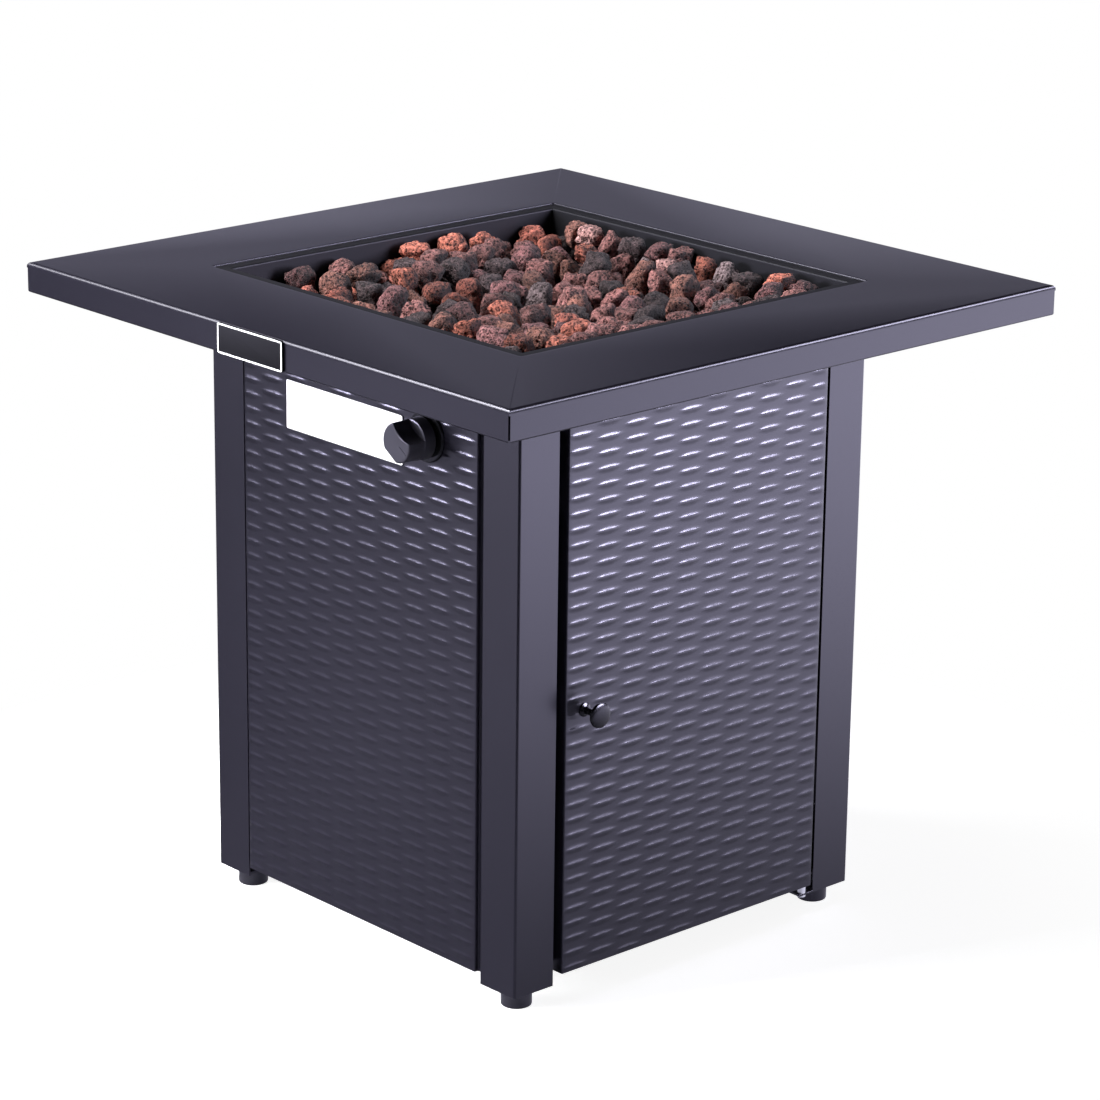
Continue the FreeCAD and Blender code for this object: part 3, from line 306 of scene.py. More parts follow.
# %% Colour, height and shader helpers
def tinted(tree, factor, first, second, how="MIX"):
    """Colour between two colours by a factor."""
    node = add(tree, "Mix", {"data_type": "RGBA", "blend_type": how})
    for value, slot in ((factor, 0), (first, 6), (second, 7)):
        join(tree, value, node.inputs[slot])
    return node.outputs[2]


def dimmed(tree, colour, gain):
    """Colour multiplied by a number."""
    return tinted(tree, 1.0, colour, add(tree, "CombineColor", Red=gain, Green=gain, Blue=gain).outputs[0],
                  "MULTIPLY")


def bumped(tree, depth, height):
    """Normal of a height pattern; the depth, in metres, is what a height of one stands for."""
    return add(tree, "Bump", Strength=1.0, Distance=depth, Height=height).outputs[0]


def blend(tree, factor, first, second):
    """Shader between two shaders by a factor."""
    node = add(tree, "MixShader")
    for value, socket in zip((factor, first, second), node.inputs):
        tree.links.new(value, socket)
    return node.outputs[0]


def ranged(tree, value, low, high, new_low, new_high, smooth=False):
    """Value carried from one range to another, clamped at both ends."""
    node = add(tree, "MapRange", {"interpolation_type": "SMOOTHSTEP" if smooth else "LINEAR"})
    for item, socket in zip((value, low, high, new_low, new_high), node.inputs):
        join(tree, item, socket)
    return node.outputs[0]


print("colour nodes ready")

# %% Groups and finishes
def effect(name, inputs, outputs):
    """Empty node group with named inputs (label, kind, value) and outputs (label, kind)."""
    tree = bpy.data.node_groups.new(name, "ShaderNodeTree")
    for label, kind, value in inputs:
        socket = tree.interface.new_socket(label, in_out="INPUT", socket_type="NodeSocket" + kind)
        socket.default_value = value
    for label, kind in outputs:
        tree.interface.new_socket(label, in_out="OUTPUT", socket_type="NodeSocket" + kind)
    return tree, tree.nodes.new("NodeGroupInput").outputs, tree.nodes.new("NodeGroupOutput").inputs


def use(tree, group, **values):
    """The outputs of a group placed in a material, its inputs filled by name."""
    return add(tree, "Group", {"node_tree": group}, **values).outputs


def bare_tree(owner, end):
    """Emptied node tree of a material or world, and its Surface socket."""
    owner.use_nodes = True
    owner.node_tree.nodes.clear()
    return owner.node_tree, add(owner.node_tree, end).inputs["Surface"]


def new_finish(slot):
    """Material with one Principled shader, kept under the name of its slot."""
    finishes[slot] = bpy.data.materials.new(slot)
    tree, surface = bare_tree(finishes[slot], "OutputMaterial")
    skin = add(tree, "BsdfPrincipled")
    tree.links.new(skin.outputs["BSDF"], surface)
    return tree, skin.inputs


def wire(tree, made, skin):
    """Links a group's Colour, Roughness and Normal to the shader."""
    for output, socket in (("Colour", "Base Color"), ("Roughness", "Roughness"), ("Normal", "Normal")):
        tree.links.new(made[output], skin[socket])


# %% [markdown]
# # Powder coat as an effect
# Powder coat is baked paint. Close up it has a fine orange peel, a slight speckle and, over a whole
# sheet, a faint cloudiness. Seven finishes share it, so it is one group: fine noise gives the grain
# and the speckle, slow noise the clouds. It puts out a colour, a roughness and a normal.

# %% Coat grain group
colour_type, number = "Color", "Float"


def coat_grain_group():
    """Speckle = fine noise; cloud = slow noise; bump height = the fine noise."""
    tree, given, out = effect(
        "coat_grain",
        [("Colour", colour_type, (0.05, 0.05, 0.06, 1)), ("Grain", number, 1400.0),
         ("Shade Change", number, 0.3), ("Roughness", number, 0.4), ("Depth", number, 0.00004)],
        [("Colour", colour_type), ("Roughness", number), ("Normal", "Vector")])
    where = add(tree, "TexCoord").outputs["Object"]
    fine = add(tree, "TexNoise", Vector=where, Scale=given["Grain"], Detail=2.0, Roughness=0.6)
    cloud = add(tree, "TexNoise", Vector=where, Scale=7.0, Detail=3.0, Roughness=0.55)
    mottle = calc(tree, "ADD", calc(tree, "MULTIPLY", fine.outputs[0], 0.75),
                  calc(tree, "MULTIPLY", cloud.outputs[0], 0.25))
    swing = calc(tree, "MULTIPLY", calc(tree, "SUBTRACT", mottle, 0.5), given["Shade Change"])
    gain = calc(tree, "ADD", 1.0, calc(tree, "MULTIPLY", swing, 4.0))
    tree.links.new(dimmed(tree, given["Colour"], gain), out["Colour"])
    rough = calc(tree, "ADD", given["Roughness"], calc(tree, "MULTIPLY", swing, 0.4))
    tree.links.new(rough, out["Roughness"])
    tree.links.new(bumped(tree, given["Depth"], fine.outputs[0]), out["Normal"])
    return tree


coat_grain = coat_grain_group()
print("group:", coat_grain.name)

# %% Coated sheet, coated black and plate black
def coated(slot, colour, grain, change, rough, depth, gloss=0.5):
    """Painted finish: coat grain over one colour."""
    tree, skin = new_finish(slot)
    wire(tree, use(tree, coat_grain, Colour=colour, Grain=grain, Shade_Change=change,
                   Roughness=rough, Depth=depth), skin)
    skin["Specular IOR Level"].default_value = gloss
    skin["Specular Tint"].default_value = (0.84, 0.82, 1.0, 1)


coated("charcoal_coat", (0.006, 0.0055, 0.0095, 1), 1500.0, 0.22, 0.29, 0.00003, 0.5)
coated("dark_coat", (0.006, 0.006, 0.007, 1), 1100.0, 0.3, 0.5, 0.00004, 0.12)
coated("black_coat", (0.005, 0.005, 0.006, 1), 1800.0, 0.2, 0.22, 0.00001, 0.28)
coated("plate_black", (0.004, 0.004, 0.005, 1), 2600.0, 0.2, 0.6, 0.00001, 0.05)
coated("black_plastic", (0.026, 0.025, 0.033, 1), 1700.0, 0.25, 0.36, 0.00002, 0.45)
coated("white_print", (0.88, 0.88, 0.90, 1), 600.0, 0.03, 0.55, 0.000005)
coated("ceramic", (0.72, 0.70, 0.64, 1), 900.0, 0.08, 0.6, 0.00002)
print("coated finishes:", sorted(finishes))

# %% [markdown]
# # Bare metal as an effect
# Drawn tube and turned brass show fine lines along one direction, where the tool dragged. Noise
# that is stretched a hundredfold along that direction gives them. The stretch is an input, so each
# metal chooses its own direction.

# %% Tool line group
def tool_line_group():
    """Noise over coordinates multiplied by the stretch; lines change roughness and height."""
    tree, given, out = effect(
        "tool_lines",
        [("Colour", colour_type, (0.6, 0.6, 0.6, 1)), ("Stretch", "Vector", (60.0, 60.0, 6000.0)),
         ("Stain", colour_type, (0.4, 0.3, 0.2, 1)), ("Stain Share", number, 0.2),
         ("Roughness", number, 0.3), ("Depth", number, 0.00002)],
        [("Colour", colour_type), ("Roughness", number), ("Normal", "Vector")])
    where = add(tree, "TexCoord").outputs["Object"]
    pulled = steer(tree, "MULTIPLY", where, given["Stretch"])
    lines = add(tree, "TexNoise", Vector=pulled, Scale=1.0, Detail=3.0, Roughness=0.65)
    patch = add(tree, "TexNoise", Vector=where, Scale=45.0, Detail=4.0, Roughness=0.6)
    stained = ranged(tree, patch.outputs[0], 0.45, 0.75, 0.0, 1.0)
    share = calc(tree, "MULTIPLY", stained, given["Stain Share"])
    dull = tinted(tree, share, given["Colour"], given["Stain"])
    shade = ranged(tree, lines.outputs[0], 0.2, 0.8, 0.8, 1.1)
    tree.links.new(dimmed(tree, dull, shade), out["Colour"])
    rough = calc(tree, "ADD", given["Roughness"],
                 calc(tree, "MULTIPLY", calc(tree, "SUBTRACT", lines.outputs[0], 0.5), 0.25))
    tree.links.new(calc(tree, "ADD", rough, calc(tree, "MULTIPLY", share, 0.3)), out["Roughness"])
    tree.links.new(bumped(tree, given["Depth"], lines.outputs[0]), out["Normal"])
    return tree


tool_lines = tool_line_group()
print("group:", tool_lines.name)

# %% Metals
def metal(slot, colour, stretch, stain, share, rough, depth):
    """Bare metal: tool lines, with stained patches, on a fully metallic shader."""
    tree, skin = new_finish(slot)
    wire(tree, use(tree, tool_lines, Colour=colour, Stretch=stretch, Stain=stain, Stain_Share=share,
                   Roughness=rough, Depth=depth), skin)
    skin["Metallic"].default_value = 1.0


metal("zinc", (0.62, 0.63, 0.66, 1), (400.0, 400.0, 3000.0), (0.45, 0.45, 0.47, 1), 0.5, 0.32, 0.00001)
metal("brass", (0.72, 0.53, 0.25, 1), (300.0, 300.0, 5000.0), (0.42, 0.27, 0.12, 1), 0.6, 0.3, 0.00001)
metal("aluminium_tube", (0.74, 0.74, 0.76, 1), (2500.0, 60.0, 2500.0), (0.5, 0.5, 0.52, 1),
      0.4, 0.34, 0.00001)
metal("burner_steel", (0.48, 0.45, 0.42, 1), (900.0, 900.0, 60.0), (0.20, 0.15, 0.16, 1), 0.9, 0.36, 0.00001)


def galvanised():
    """Zinc crystals: every cell of a crumpled Voronoi pattern has its own grey and its own gloss."""
    tree, skin = new_finish("galvanised")
    where = add(tree, "TexCoord").outputs["Object"]
    warp = add(tree, "TexNoise", Vector=where, Scale=90.0, Detail=2.0)
    bent = steer(tree, "MULTIPLY_ADD", warp.outputs[1], (0.006, 0.006, 0.006), where)
    cells = add(tree, "TexVoronoi", Vector=bent, Scale=95.0)
    pick = add(tree, "SeparateColor", Color=cells.outputs["Color"])
    spangle = tinted(tree, pick.outputs[0], (0.42, 0.43, 0.45, 1), (0.66, 0.67, 0.69, 1))
    tree.links.new(spangle, skin["Base Color"])
    tree.links.new(ranged(tree, pick.outputs[1], 0.0, 1.0, 0.28, 0.5), skin["Roughness"])
    fine = add(tree, "TexNoise", Vector=where, Scale=700.0, Detail=2.0)
    tree.links.new(bumped(tree, 0.00001, fine.outputs[0]), skin["Normal"])
    skin["Metallic"].default_value = 1.0


galvanised()
print("finishes:", sorted(finishes))

# %% [markdown]
# # Lava stone
# Each stone has one body colour, from rust to ash, and carries it as a tint on its own points.
# Inside the pores the colour is darkened as painted shade, and a second attribute says how deep a point lies
# in one.
# The finest pores are too small for the mesh, so a Voronoi pattern adds them, as a bump and as more painted
# shade.

# %% Lava stone finish
def lava_stone():
    """Tint from the mesh, darkened in the pores as painted shade, freckled with pale spots, rough all over.
    """
    tree, skin = new_finish("lava_stone")
    where = add(tree, "TexCoord").outputs["Object"]
    tint = add(tree, "Attribute", {"attribute_name": "tint"}).outputs["Color"]
    pore = add(tree, "Attribute", {"attribute_name": "pore"}).outputs["Fac"]
    blotch = add(tree, "TexNoise", Vector=where, Scale=160.0, Detail=4.0, Roughness=0.65)
    fleck = add(tree, "TexNoise", Vector=where, Scale=900.0, Detail=3.0, Roughness=0.7)
    warp = steer(tree, "MULTIPLY_ADD", blotch.outputs[1], (0.0035, 0.0035, 0.0035), where)
    wide, small = (add(tree, "TexVoronoi", Vector=warp, Scale=scale).outputs["Distance"]
                   for scale in (300.0, 640.0))
    hole = calc(tree, "MAXIMUM", ranged(tree, wide, 0.23, 0.50, 1.0, 0.0, smooth=True),
                ranged(tree, small, 0.20, 0.45, 0.8, 0.0, smooth=True))
    # Painted shade: deep is how far a point lies in a pore, from the pore attribute or the Voronoi holes.
    deep = calc(tree, "MAXIMUM", pore, hole)
    light = tinted(tree, ranged(tree, blotch.outputs[0], 0.35, 0.65, 0.0, 1.0),
                   (0.5, 0.47, 0.47, 1), (1.7, 1.6, 1.6, 1))
    body = tinted(tree, 1.0, tint, light, "MULTIPLY")
    pale = calc(tree, "MULTIPLY", ranged(tree, fleck.outputs[0], 0.60, 0.72, 0.0, 1.0), 0.60)
    freckled = tinted(tree, pale, body, (0.48, 0.36, 0.36, 1))
    # Painted shade: the colour in the pores is darkened to stand for the shade inside them.
    dark = tinted(tree, 1.0, freckled, (0.13, 0.09, 0.09, 1), "MULTIPLY")
    tree.links.new(tinted(tree, deep, freckled, dark), skin["Base Color"])
    skin["Roughness"].default_value = 0.92
    skin["Specular IOR Level"].default_value = 0.3
    grit = calc(tree, "SUBTRACT", fleck.outputs[0], calc(tree, "MULTIPLY", hole, 1.1))
    tree.links.new(bumped(tree, 0.0012, grit), skin["Normal"])


lava_stone()
print("finishes in all:", len(finishes))

# %% [markdown]
# # Floor, background and light
# Product photographs stand on white that shows only the soft shadow. The floor is a plain matt
# plane. The camera sees it lifted to white far out and just lit near the table, so the contact
# shadows stay. Mirror rays see a studio instead: the sheets of the table reflect a floor that is
# bright to the left and right front, and dim at its left edge, towards the camera and steeply below.
# Large soft boxes light the table. Three more lamps are there for the coat's mirror light alone: one
# low on the right, one above the back, and a small one near the front panel, whose streaks fade
# with the distance from it as they do beside a real lamp.

# %% Floor
def white_floor(reach=30.0):
    """Matt plane, white farther out; mirror rays see base + sides, times edge, viewer and steepness."""
    material = bpy.data.materials.new("floor")
    tree, surface = bare_tree(material, "OutputMaterial")
    where = add(tree, "TexCoord").outputs["Object"]
    path = add(tree, "LightPath").outputs
    seen = calc(tree, "MAXIMUM", path["Is Camera Ray"], path["Is Transmission Ray"])
    near = add(tree, "AddShader")
    lift = add(tree, "Emission", Color=(1, 1, 1, 1), Strength=calc(tree, "MULTIPLY", seen, 0.90))
    for part, socket in zip((add(tree, "BsdfDiffuse", Color=(0.80, 0.80, 0.83, 1)), lift), near.inputs):
        tree.links.new(part.outputs[0], socket)
    plain = add(tree, "Emission", Color=(1, 1, 1, 1), Strength=1.0)
    far = ranged(tree, steer(tree, "LENGTH", where), 0.36, 0.80, 0.0, 1.0, smooth=True)
    shown = blend(tree, calc(tree, "MULTIPLY", seen, far), near.outputs[0], plain.outputs[0])
    across = steer(tree, "DOT_PRODUCT", where, (0.743, 0.669, 0.0))
    deep = steer(tree, "DOT_PRODUCT", where, (-0.669, 0.743, 0.0))
    right = ranged(tree, across, -0.2, 2.4, 0.0, 4.1, smooth=True)
    left = ranged(tree, across, -1.2, -0.2, 0.42, 0.0)
    patch = calc(tree, "MULTIPLY", ranged(tree, across, -2.4, -1.2, 0.85, 0.0),
                 ranged(tree, deep, -0.30, -0.10, 1.0, 0.0))
    sides = calc(tree, "ADD", calc(tree, "ADD", 0.50, right), calc(tree, "ADD", left, patch))
    lost = calc(tree, "MULTIPLY", ranged(tree, across, -0.6, -0.2, 1.0, 0.0),
                ranged(tree, deep, -0.14, 0.10, 0.0, 0.78))
    edge = calc(tree, "SUBTRACT", 1.0, lost)
    viewer = ranged(tree, deep, -1.6, -0.5, 0.03, 1.0)
    steep = ranged(tree, add(tree, "LayerWeight").outputs["Facing"], 0.30, 0.62, 0.45, 1.0)
    bright = calc(tree, "MULTIPLY", calc(tree, "MULTIPLY", sides, edge),
                  calc(tree, "MULTIPLY", viewer, steep))
    mirrored = add(tree, "Emission", Color=(0.84, 0.82, 1.0, 1), Strength=bright)
    tree.links.new(blend(tree, path["Is Glossy Ray"], shown, mirrored.outputs[0]), surface)
    mesh = bpy.data.meshes.new("floor")
    mesh.from_pydata([(-reach, -reach, 0), (reach, -reach, 0), (reach, reach, 0), (-reach, reach, 0)],
                     [], [(0, 1, 2, 3)])
    mesh.materials.append(material)
    placed("floor", mesh)


white_floor()
print("floor at height 0")

# %% World
def studio_world(fill, ceiling):
    """Even fill; camera rays see white, mirror rays a low grey wall that fades to a dim ceiling."""
    world = bpy.data.worlds.new("studio")
    bpy.context.scene.world = world
    tree, surface = bare_tree(world, "OutputWorld")
    path = add(tree, "LightPath").outputs
    way = add(tree, "SeparateXYZ", Vector=add(tree, "TexCoord").outputs["Generated"])
    wall = ranged(tree, way.outputs["Z"], 0.17, 0.29, 0.70, ceiling, smooth=True)
    plain = calc(tree, "MAXIMUM", path["Is Camera Ray"], path["Is Transmission Ray"])
    mirrored = calc(tree, "MULTIPLY", path["Is Glossy Ray"], wall)
    other = calc(tree, "MULTIPLY", calc(tree, "SUBTRACT", 1.0, path["Is Glossy Ray"]), fill)
    strength = calc(tree, "MAXIMUM", plain, calc(tree, "ADD", mirrored, other))
    hue = tinted(tree, path["Is Glossy Ray"], (1.0, 1.0, 1.0, 1), (0.80, 0.78, 1.0, 1))
    tree.links.new(add(tree, "Background", Color=hue, Strength=strength).outputs[0], surface)


studio_world(0.07, 0.01)
print("world:", bpy.context.scene.world.name)

# %% Lamps
def softbox(name, azimuth, elevation, distance, width, height, power, aim=(0.0, 0.0, 0.45)):
    """Area lamp on a sphere round the table: azimuth 0 is the +X side, 90 the +Y side."""
    a, e = math.radians(azimuth), math.radians(elevation)
    out = np.array([math.cos(a) * math.cos(e), math.sin(a) * math.cos(e), math.sin(e)])
    side = np.array([-math.sin(a), math.cos(a), 0.0])
    data = bpy.data.lights.new(name, "AREA")
    data.shape = "RECTANGLE"
    data.size, data.size_y, data.energy = width, height, power
    lamp = placed(name, data)
    turn = Matrix(np.column_stack([side, np.cross(out, side), out]).tolist()).to_4x4()
    lamp.matrix_world = Matrix.Translation((out * distance + np.array(aim)).tolist()) @ turn
    return lamp


softbox("key_box", 232, 54, 2.4, 0.8, 0.8, 125.0)
softbox("front_left_box", 219, 36, 3.0, 1.4, 1.3, 75.0)
softbox("front_fill_box", 245, 12, 3.0, 1.2, 1.0, 105.0).visible_glossy = False
mirror_boxes = (("low_right_box", 31, 16, 3.0, 1.5, 1.0, 380.0),
                ("near_left_box", 239, 14.0, 1.29, 0.34, 0.35, 30.0),
                ("right_back_box", 50, 31, 3.0, 1.2, 0.9, 85.0))
for row in mirror_boxes:
    lamp = softbox(*row, aim=(0.0, 0.0, 0.48))
    lamp.data.color = (0.86, 0.84, 1.0)
    lamp.visible_diffuse = lamp.visible_camera = False
bpy.context.scene.view_settings.view_transform = "Standard"
print("lamps:", 3 + len(mirror_boxes), "view transform:", bpy.context.scene.view_settings.view_transform)

# %% [markdown]
# # Pieces whose shape is right already
# Posts, rails, pan, shelf, shield, burner and valve have their true shape in the model. A merged
# copy with even shading is enough for them, and the posts get eased edges as well: those edges catch
# a thin line of light, as the rounded edge of coated sheet does.

# %% Merged copies
corner_signs = {"front_left": (-1, -1), "front_right": (1, -1), "back_right": (1, 1), "back_left": (-1, 1)}
plain_copies = {
    "charcoal_coat": ["top_rail_" + side for side in ("front", "left", "back", "right")],
    "zinc": ["shelf_screws", "lower_hinge_pin", "upper_hinge_pin", "door_knob_screw",
             *("foot_stud_" + corner for corner in corner_signs)],
    "galvanised": ["heat_shield"],
    "dark_coat": ["bottle_shelf", "burner_pan"],
    "burner_steel": ["burner_ring", "pilot_guard", "air_shutter", "flame_sensor"],
    "brass": ["air_mixer", "valve_body", "valve_stem", "valve_seat"],
    "aluminium_tube": ["feed_tube"],
    "ceramic": ["igniter_electrode"],
    "black_plastic": ["magnet_catch"],
}
for slot, names in plain_copies.items():
    for name in names:
        merged_copy(name, slot)
for corner in corner_signs:
    merged_copy("post_" + corner, "charcoal_coat", edge=0.25)
print("merged copies:", sum(map(len, plain_copies.values())) + len(corner_signs))

# %% [markdown]
# # The pressed weave of the panels
# The sheets of the base are pressed with rows of narrow bumps, so that they look woven. Every bump
# stands about a millimetre proud: a short steep slope faces up, a longer one faces down, and its
# ends run out to points. Neighbouring columns are half a row apart. A photograph of the pattern
# would slide and smear, so the bumps are real: a height is worked out for each point of a grid.

# %% Height of the weave
row_pitch = 15.05
weave_height = 1.0
sheet_low, sheet_high = 30.5, 612.0


def smooth_fall(x):
    """1 at 0 and below, 0 at 1 and above, with level ends: 1 - 3x^2 + 2x^3."""
    x = np.clip(x, 0.0, 1.0)
    return 1.0 - x * x * (3.0 - 2.0 * x)


def weave(along, height, first, pitch, count=10, slope=0.33):
    """Height of the pressed bumps at (along, height).

    u is the distance to the nearest column's middle and t the distance above that column's nearest
    crest. Above the crest the bump falls as a flat facet of the slope, below it softly over b, and
    lens and lobes lower it towards the pointed ends and a little in the middle."""
    column = np.clip(np.round((along - first) / pitch), 0, count - 1)
    u = along - first - column * pitch
    lens = np.clip(1.0 - (u / 15.6) ** 2, 0.0, 1.0)
    crest = 502.0 - 7.52 * (column % 2) + 0.5 * np.exp(-(u / 2.5) ** 2)
    t = (height - crest + row_pitch / 2) % row_pitch - row_pitch / 2
    b = 6.0 * np.clip(lens, 0.25, 1.0)
    lobes = 1.0 - 0.28 * np.exp(-(u / 2.8) ** 2)
    crown = weave_height * lens ** 0.6 * lobes
    bump = np.where(t > 0, np.clip(crown - slope * t, 0.0, None), crown * smooth_fall(-t / b))
    window = smooth_fall((36.0 - height) / 3.0) * smooth_fall((height - 607.0) / 3.0)
    return bump * window


sample = weave(np.linspace(-30, 30, 61), np.full(61, 502.2), 0.0, 35.3)
print("highest bump:", round(float(sample.max()), 2))

# %% [markdown]
# # Folded sheets
# A panel is one sheet: its section, seen from above, is a path with rounded bends, and that section
# is carried up from the floor end to the top. Rows of the grid go up and columns follow the path.
# The bumps push the points of the face outwards. Inside goes a second skin, one sheet thickness in.

# %% Section of a sheet
def unit(v):
    """Vector, or rows of vectors, at length 1."""
    return v / np.linalg.norm(v, axis=-1, keepdims=True)


def bent_path(corners, radius, steps=5):
    """Path through corners with round bends: each corner becomes an arc of the given radius."""
    corners = np.asarray(corners, float)
    points = [corners[0]]
    angles = np.linspace(-math.pi / 4, math.pi / 4, steps + 1)[:, None]
    for before, here, after in zip(corners, corners[1:], corners[2:]):
        back, ahead = unit(before - here), unit(after - here)
        middle, side = unit(back + ahead), unit(ahead - back)
        centre = here + middle * radius * math.sqrt(2.0)
        points.append(centre + radius * (-middle * np.cos(angles) + side * np.sin(angles)))
    points.append(corners[-1])
    return np.vstack(points)


def with_stations(path, axis, stations):
    """Same path, with extra points where its long face crosses the given stations."""
    run = np.abs(np.diff(path[:, axis]))
    k = int(run.argmax())
    low, high = sorted((path[k, axis], path[k + 1, axis]))
    inner = [s for s in stations if low + 0.8 < s < high - 0.8]
    if path[k + 1, axis] < path[k, axis]:
        inner = inner[::-1]
    extra = np.tile(path[k], (len(inner), 1))
    extra[:, axis] = inner
    return np.vstack([path[:k + 1], extra, path[k + 1:]])


corner = bent_path([(0, 0), (10, 0), (10, 10)], 2.0)
print("a bend of 2 mm has", len(corner) - 2, "points")

# %% Skins of a sheet
def path_normals(path):
    """Normals to the right of the path, longer at its bends so that the thickness stays even."""
    steps = unit(np.diff(path, axis=0))
    right = np.column_stack([steps[:, 1], -steps[:, 0]])
    between = unit(np.vstack([right[:1], right[:-1] + right[1:], right[-1:]]))
    stretch = np.concatenate([[1.0], 1.0 / np.clip((between[1:-1] * right[1:]).sum(1), 0.5, 1.0), [1.0]])
    return between * stretch[:, None]


def two_skins(outer, inner):
    """Closed sheet from an outer and an inner grid of as many columns; ends are strips or fans."""
    rows, columns = outer.shape[:2]
    few = inner.shape[0]
    start, top = rows * columns, (rows - 1) * columns
    high_in = start + (few - 1) * columns
    faces = sheet_faces(rows, columns) + [loop[::-1] for loop in sheet_faces(few, columns, start)]
    for j in range(columns - 1):
        faces.append([j + 1, j, start + j, start + j + 1])
        faces.append([top + j, top + j + 1, high_in + j + 1, high_in + j])
    for j, turned_round in ((0, False), (columns - 1, True)):
        pairs = [(i * columns + j, (i + 1) * columns + j) for i in range(rows - 1)]
        if few == rows:
            loops = [[a, b, start + b, start + a] for a, b in pairs]
        else:
            loops = [[a, b, start + j] for a, b in pairs] + [[top + j, high_in + j, start + j]]
        faces += [loop[::-1] for loop in loops] if turned_round else loops
    return np.concatenate([outer.reshape(-1, 3), inner.reshape(-1, 3)]), faces


def slab(low, high):
    """Plain block between two corners, for the lips inside a folded sheet."""
    (x0, y0, z0), (x1, y1, z1) = low, high
    ring = np.array([(x0, y0), (x1, y0), (x1, y1), (x0, y1)], float)
    return ringed([np.column_stack([ring, np.full(4, z)]) for z in (z0, z1)])


print("a slab has", len(slab((0, 0, 0), (1, 1, 1))[1]), "faces")

# %% Rows of the grid
crests = 502.0 + row_pitch / 2 * np.arange(-63, 15)
levels = (crests[:, None] + np.array([0.0, 0.9, 2.1, 3.5, 5.4])).ravel()
levels = levels[(levels > sheet_low + 0.5) & (levels < sheet_high - 0.5)]
heights = np.concatenate([[sheet_low], levels, [sheet_high]])
print("rows in a panel:", len(heights))

# %% Pressed section and its skin
post_inside, panel_face, half_panel, panel_sheet = 225.5, 230.0, 173.3, 1.2


def turned(points, angle):
    """Points turned about the upright centre line by an angle in degrees."""
    c, s = math.cos(math.radians(angle)), math.sin(math.radians(angle))
    x, y = points[..., 0], points[..., 1]
    return np.stack([x * c - y * s, x * s + y * c, points[..., 2]], -1)


def pressed(corners, axis, first, pitch, half, quiet=None):
    """Section path, its grid of heights, and how far the weave pushes each point of the long face.

    The weave fades at the face's edges and round a quiet spot (place, height, radius, fade)."""
    path = with_stations(bent_path(corners, 1.4), axis, first + pitch * np.arange(-5, 95) / 10)
    along, z = np.meshgrid(path[:, axis], heights)
    on_face = np.abs(path[None, :, 1 - axis] - corners[2][1 - axis]) < 1e-6
    raised = weave(along, z, first, pitch) * on_face * smooth_fall((np.abs(along) - half + 3.0) / 2.0)
    if quiet:
        spot, level, radius, fade = quiet
        raised *= 1.0 - smooth_fall((np.hypot(along - spot, z - level) - radius) / fade)
    return path, z, raised


def skin(path, z, push_x=0.0, push_y=0.0):
    """Path carried up through the heights z, its points pushed along X and Y."""
    return np.stack([path[:, 0] + 0 * z + push_x, path[:, 1] + 0 * z + push_y, z], -1)


print("panel face at", panel_face, "mm, woven field", 2 * half_panel, "mm wide")

# %% Three side panels
def side_panel(name, angle, quiet=None):
    """Hat section carried upwards, with the weave on its outer skin and a lip at both ends."""
    far = 200.0
    corners = [(-far, -post_inside), (-half_panel, -post_inside), (-half_panel, -panel_face),
               (half_panel, -panel_face), (half_panel, -post_inside), (far, -post_inside)]
    path, z, raised = pressed(corners, 0, -163.6, 35.3, half_panel, quiet)
    inside = path - path_normals(path) * panel_sheet
    reach = half_panel - panel_sheet
    lips = [slab((-reach, -panel_face + panel_sheet, low), (reach, -post_inside, low + panel_sheet))
            for low in (sheet_low, sheet_high - panel_sheet)]
    sheet = two_skins(skin(path, z, push_y=-raised), skin(inside, z[[0, -1]]))
    points, faces = joined([sheet] + lips)
    return make_piece(name + "_woven", (turned(points, angle), faces), "frame", "charcoal_coat", [name],
                      crease=50, turn_out=False)


front = side_panel("front_panel", 0, quiet=(102.0, 546.0, 25.0, 4.0))
side_panel("back_panel", 180)
side_panel("left_panel", 270)
print("faces in one panel:", len(front.data.polygons))

# %% [markdown]
# # The door
# The door is the same pressed sheet, folded deeper into a tray. It is seen from inside when it
# stands open, so here both skins carry the weave: the inner one shows the bumps as dents.

# %% Door
def door():
    """Tray section carried upwards, the weave on both skins, and a lid at both ends."""
    face, back, half, lip, sheet = 231.6, 217.6, 170.5, 10.0, 1.2
    corners = [(back, -half + lip), (back, -half), (face, -half),
               (face, half), (back, half), (back, half - lip)]
    path, z, raised = pressed(corners, 1, -154.9, 35.2, half, quiet=(-146.5, 293.0, 7.5, 3.0))
    inside = path - path_normals(path) * sheet
    lids = [slab((back, -half + sheet, low), (face - sheet, half - sheet, low + sheet))
            for low in (sheet_low, sheet_high - sheet)]
    shape = joined([two_skins(skin(path, z, push_x=raised), skin(inside, z, push_x=raised))] + lids)
    return make_piece("door_woven", shape, "door", "charcoal_coat", ["door_panel"], crease=50, turn_out=False)


print("faces in the door:", len(door().data.polygons))

# %% [markdown]
# # The folded top
# The top is one sheet as well: flat, with a square opening, and folded down and in at its rim. Its
# profile is carried round the square with a mitre at each corner. The folds aren't welded, so a
# narrow seam stays open at every corner below the bend; there the profile stops a little early.

# %% Top profile
half_top, top_high, rim_low, half_open, seam_top = 355.5, 647.0, 617.0, 226.5, 641.5


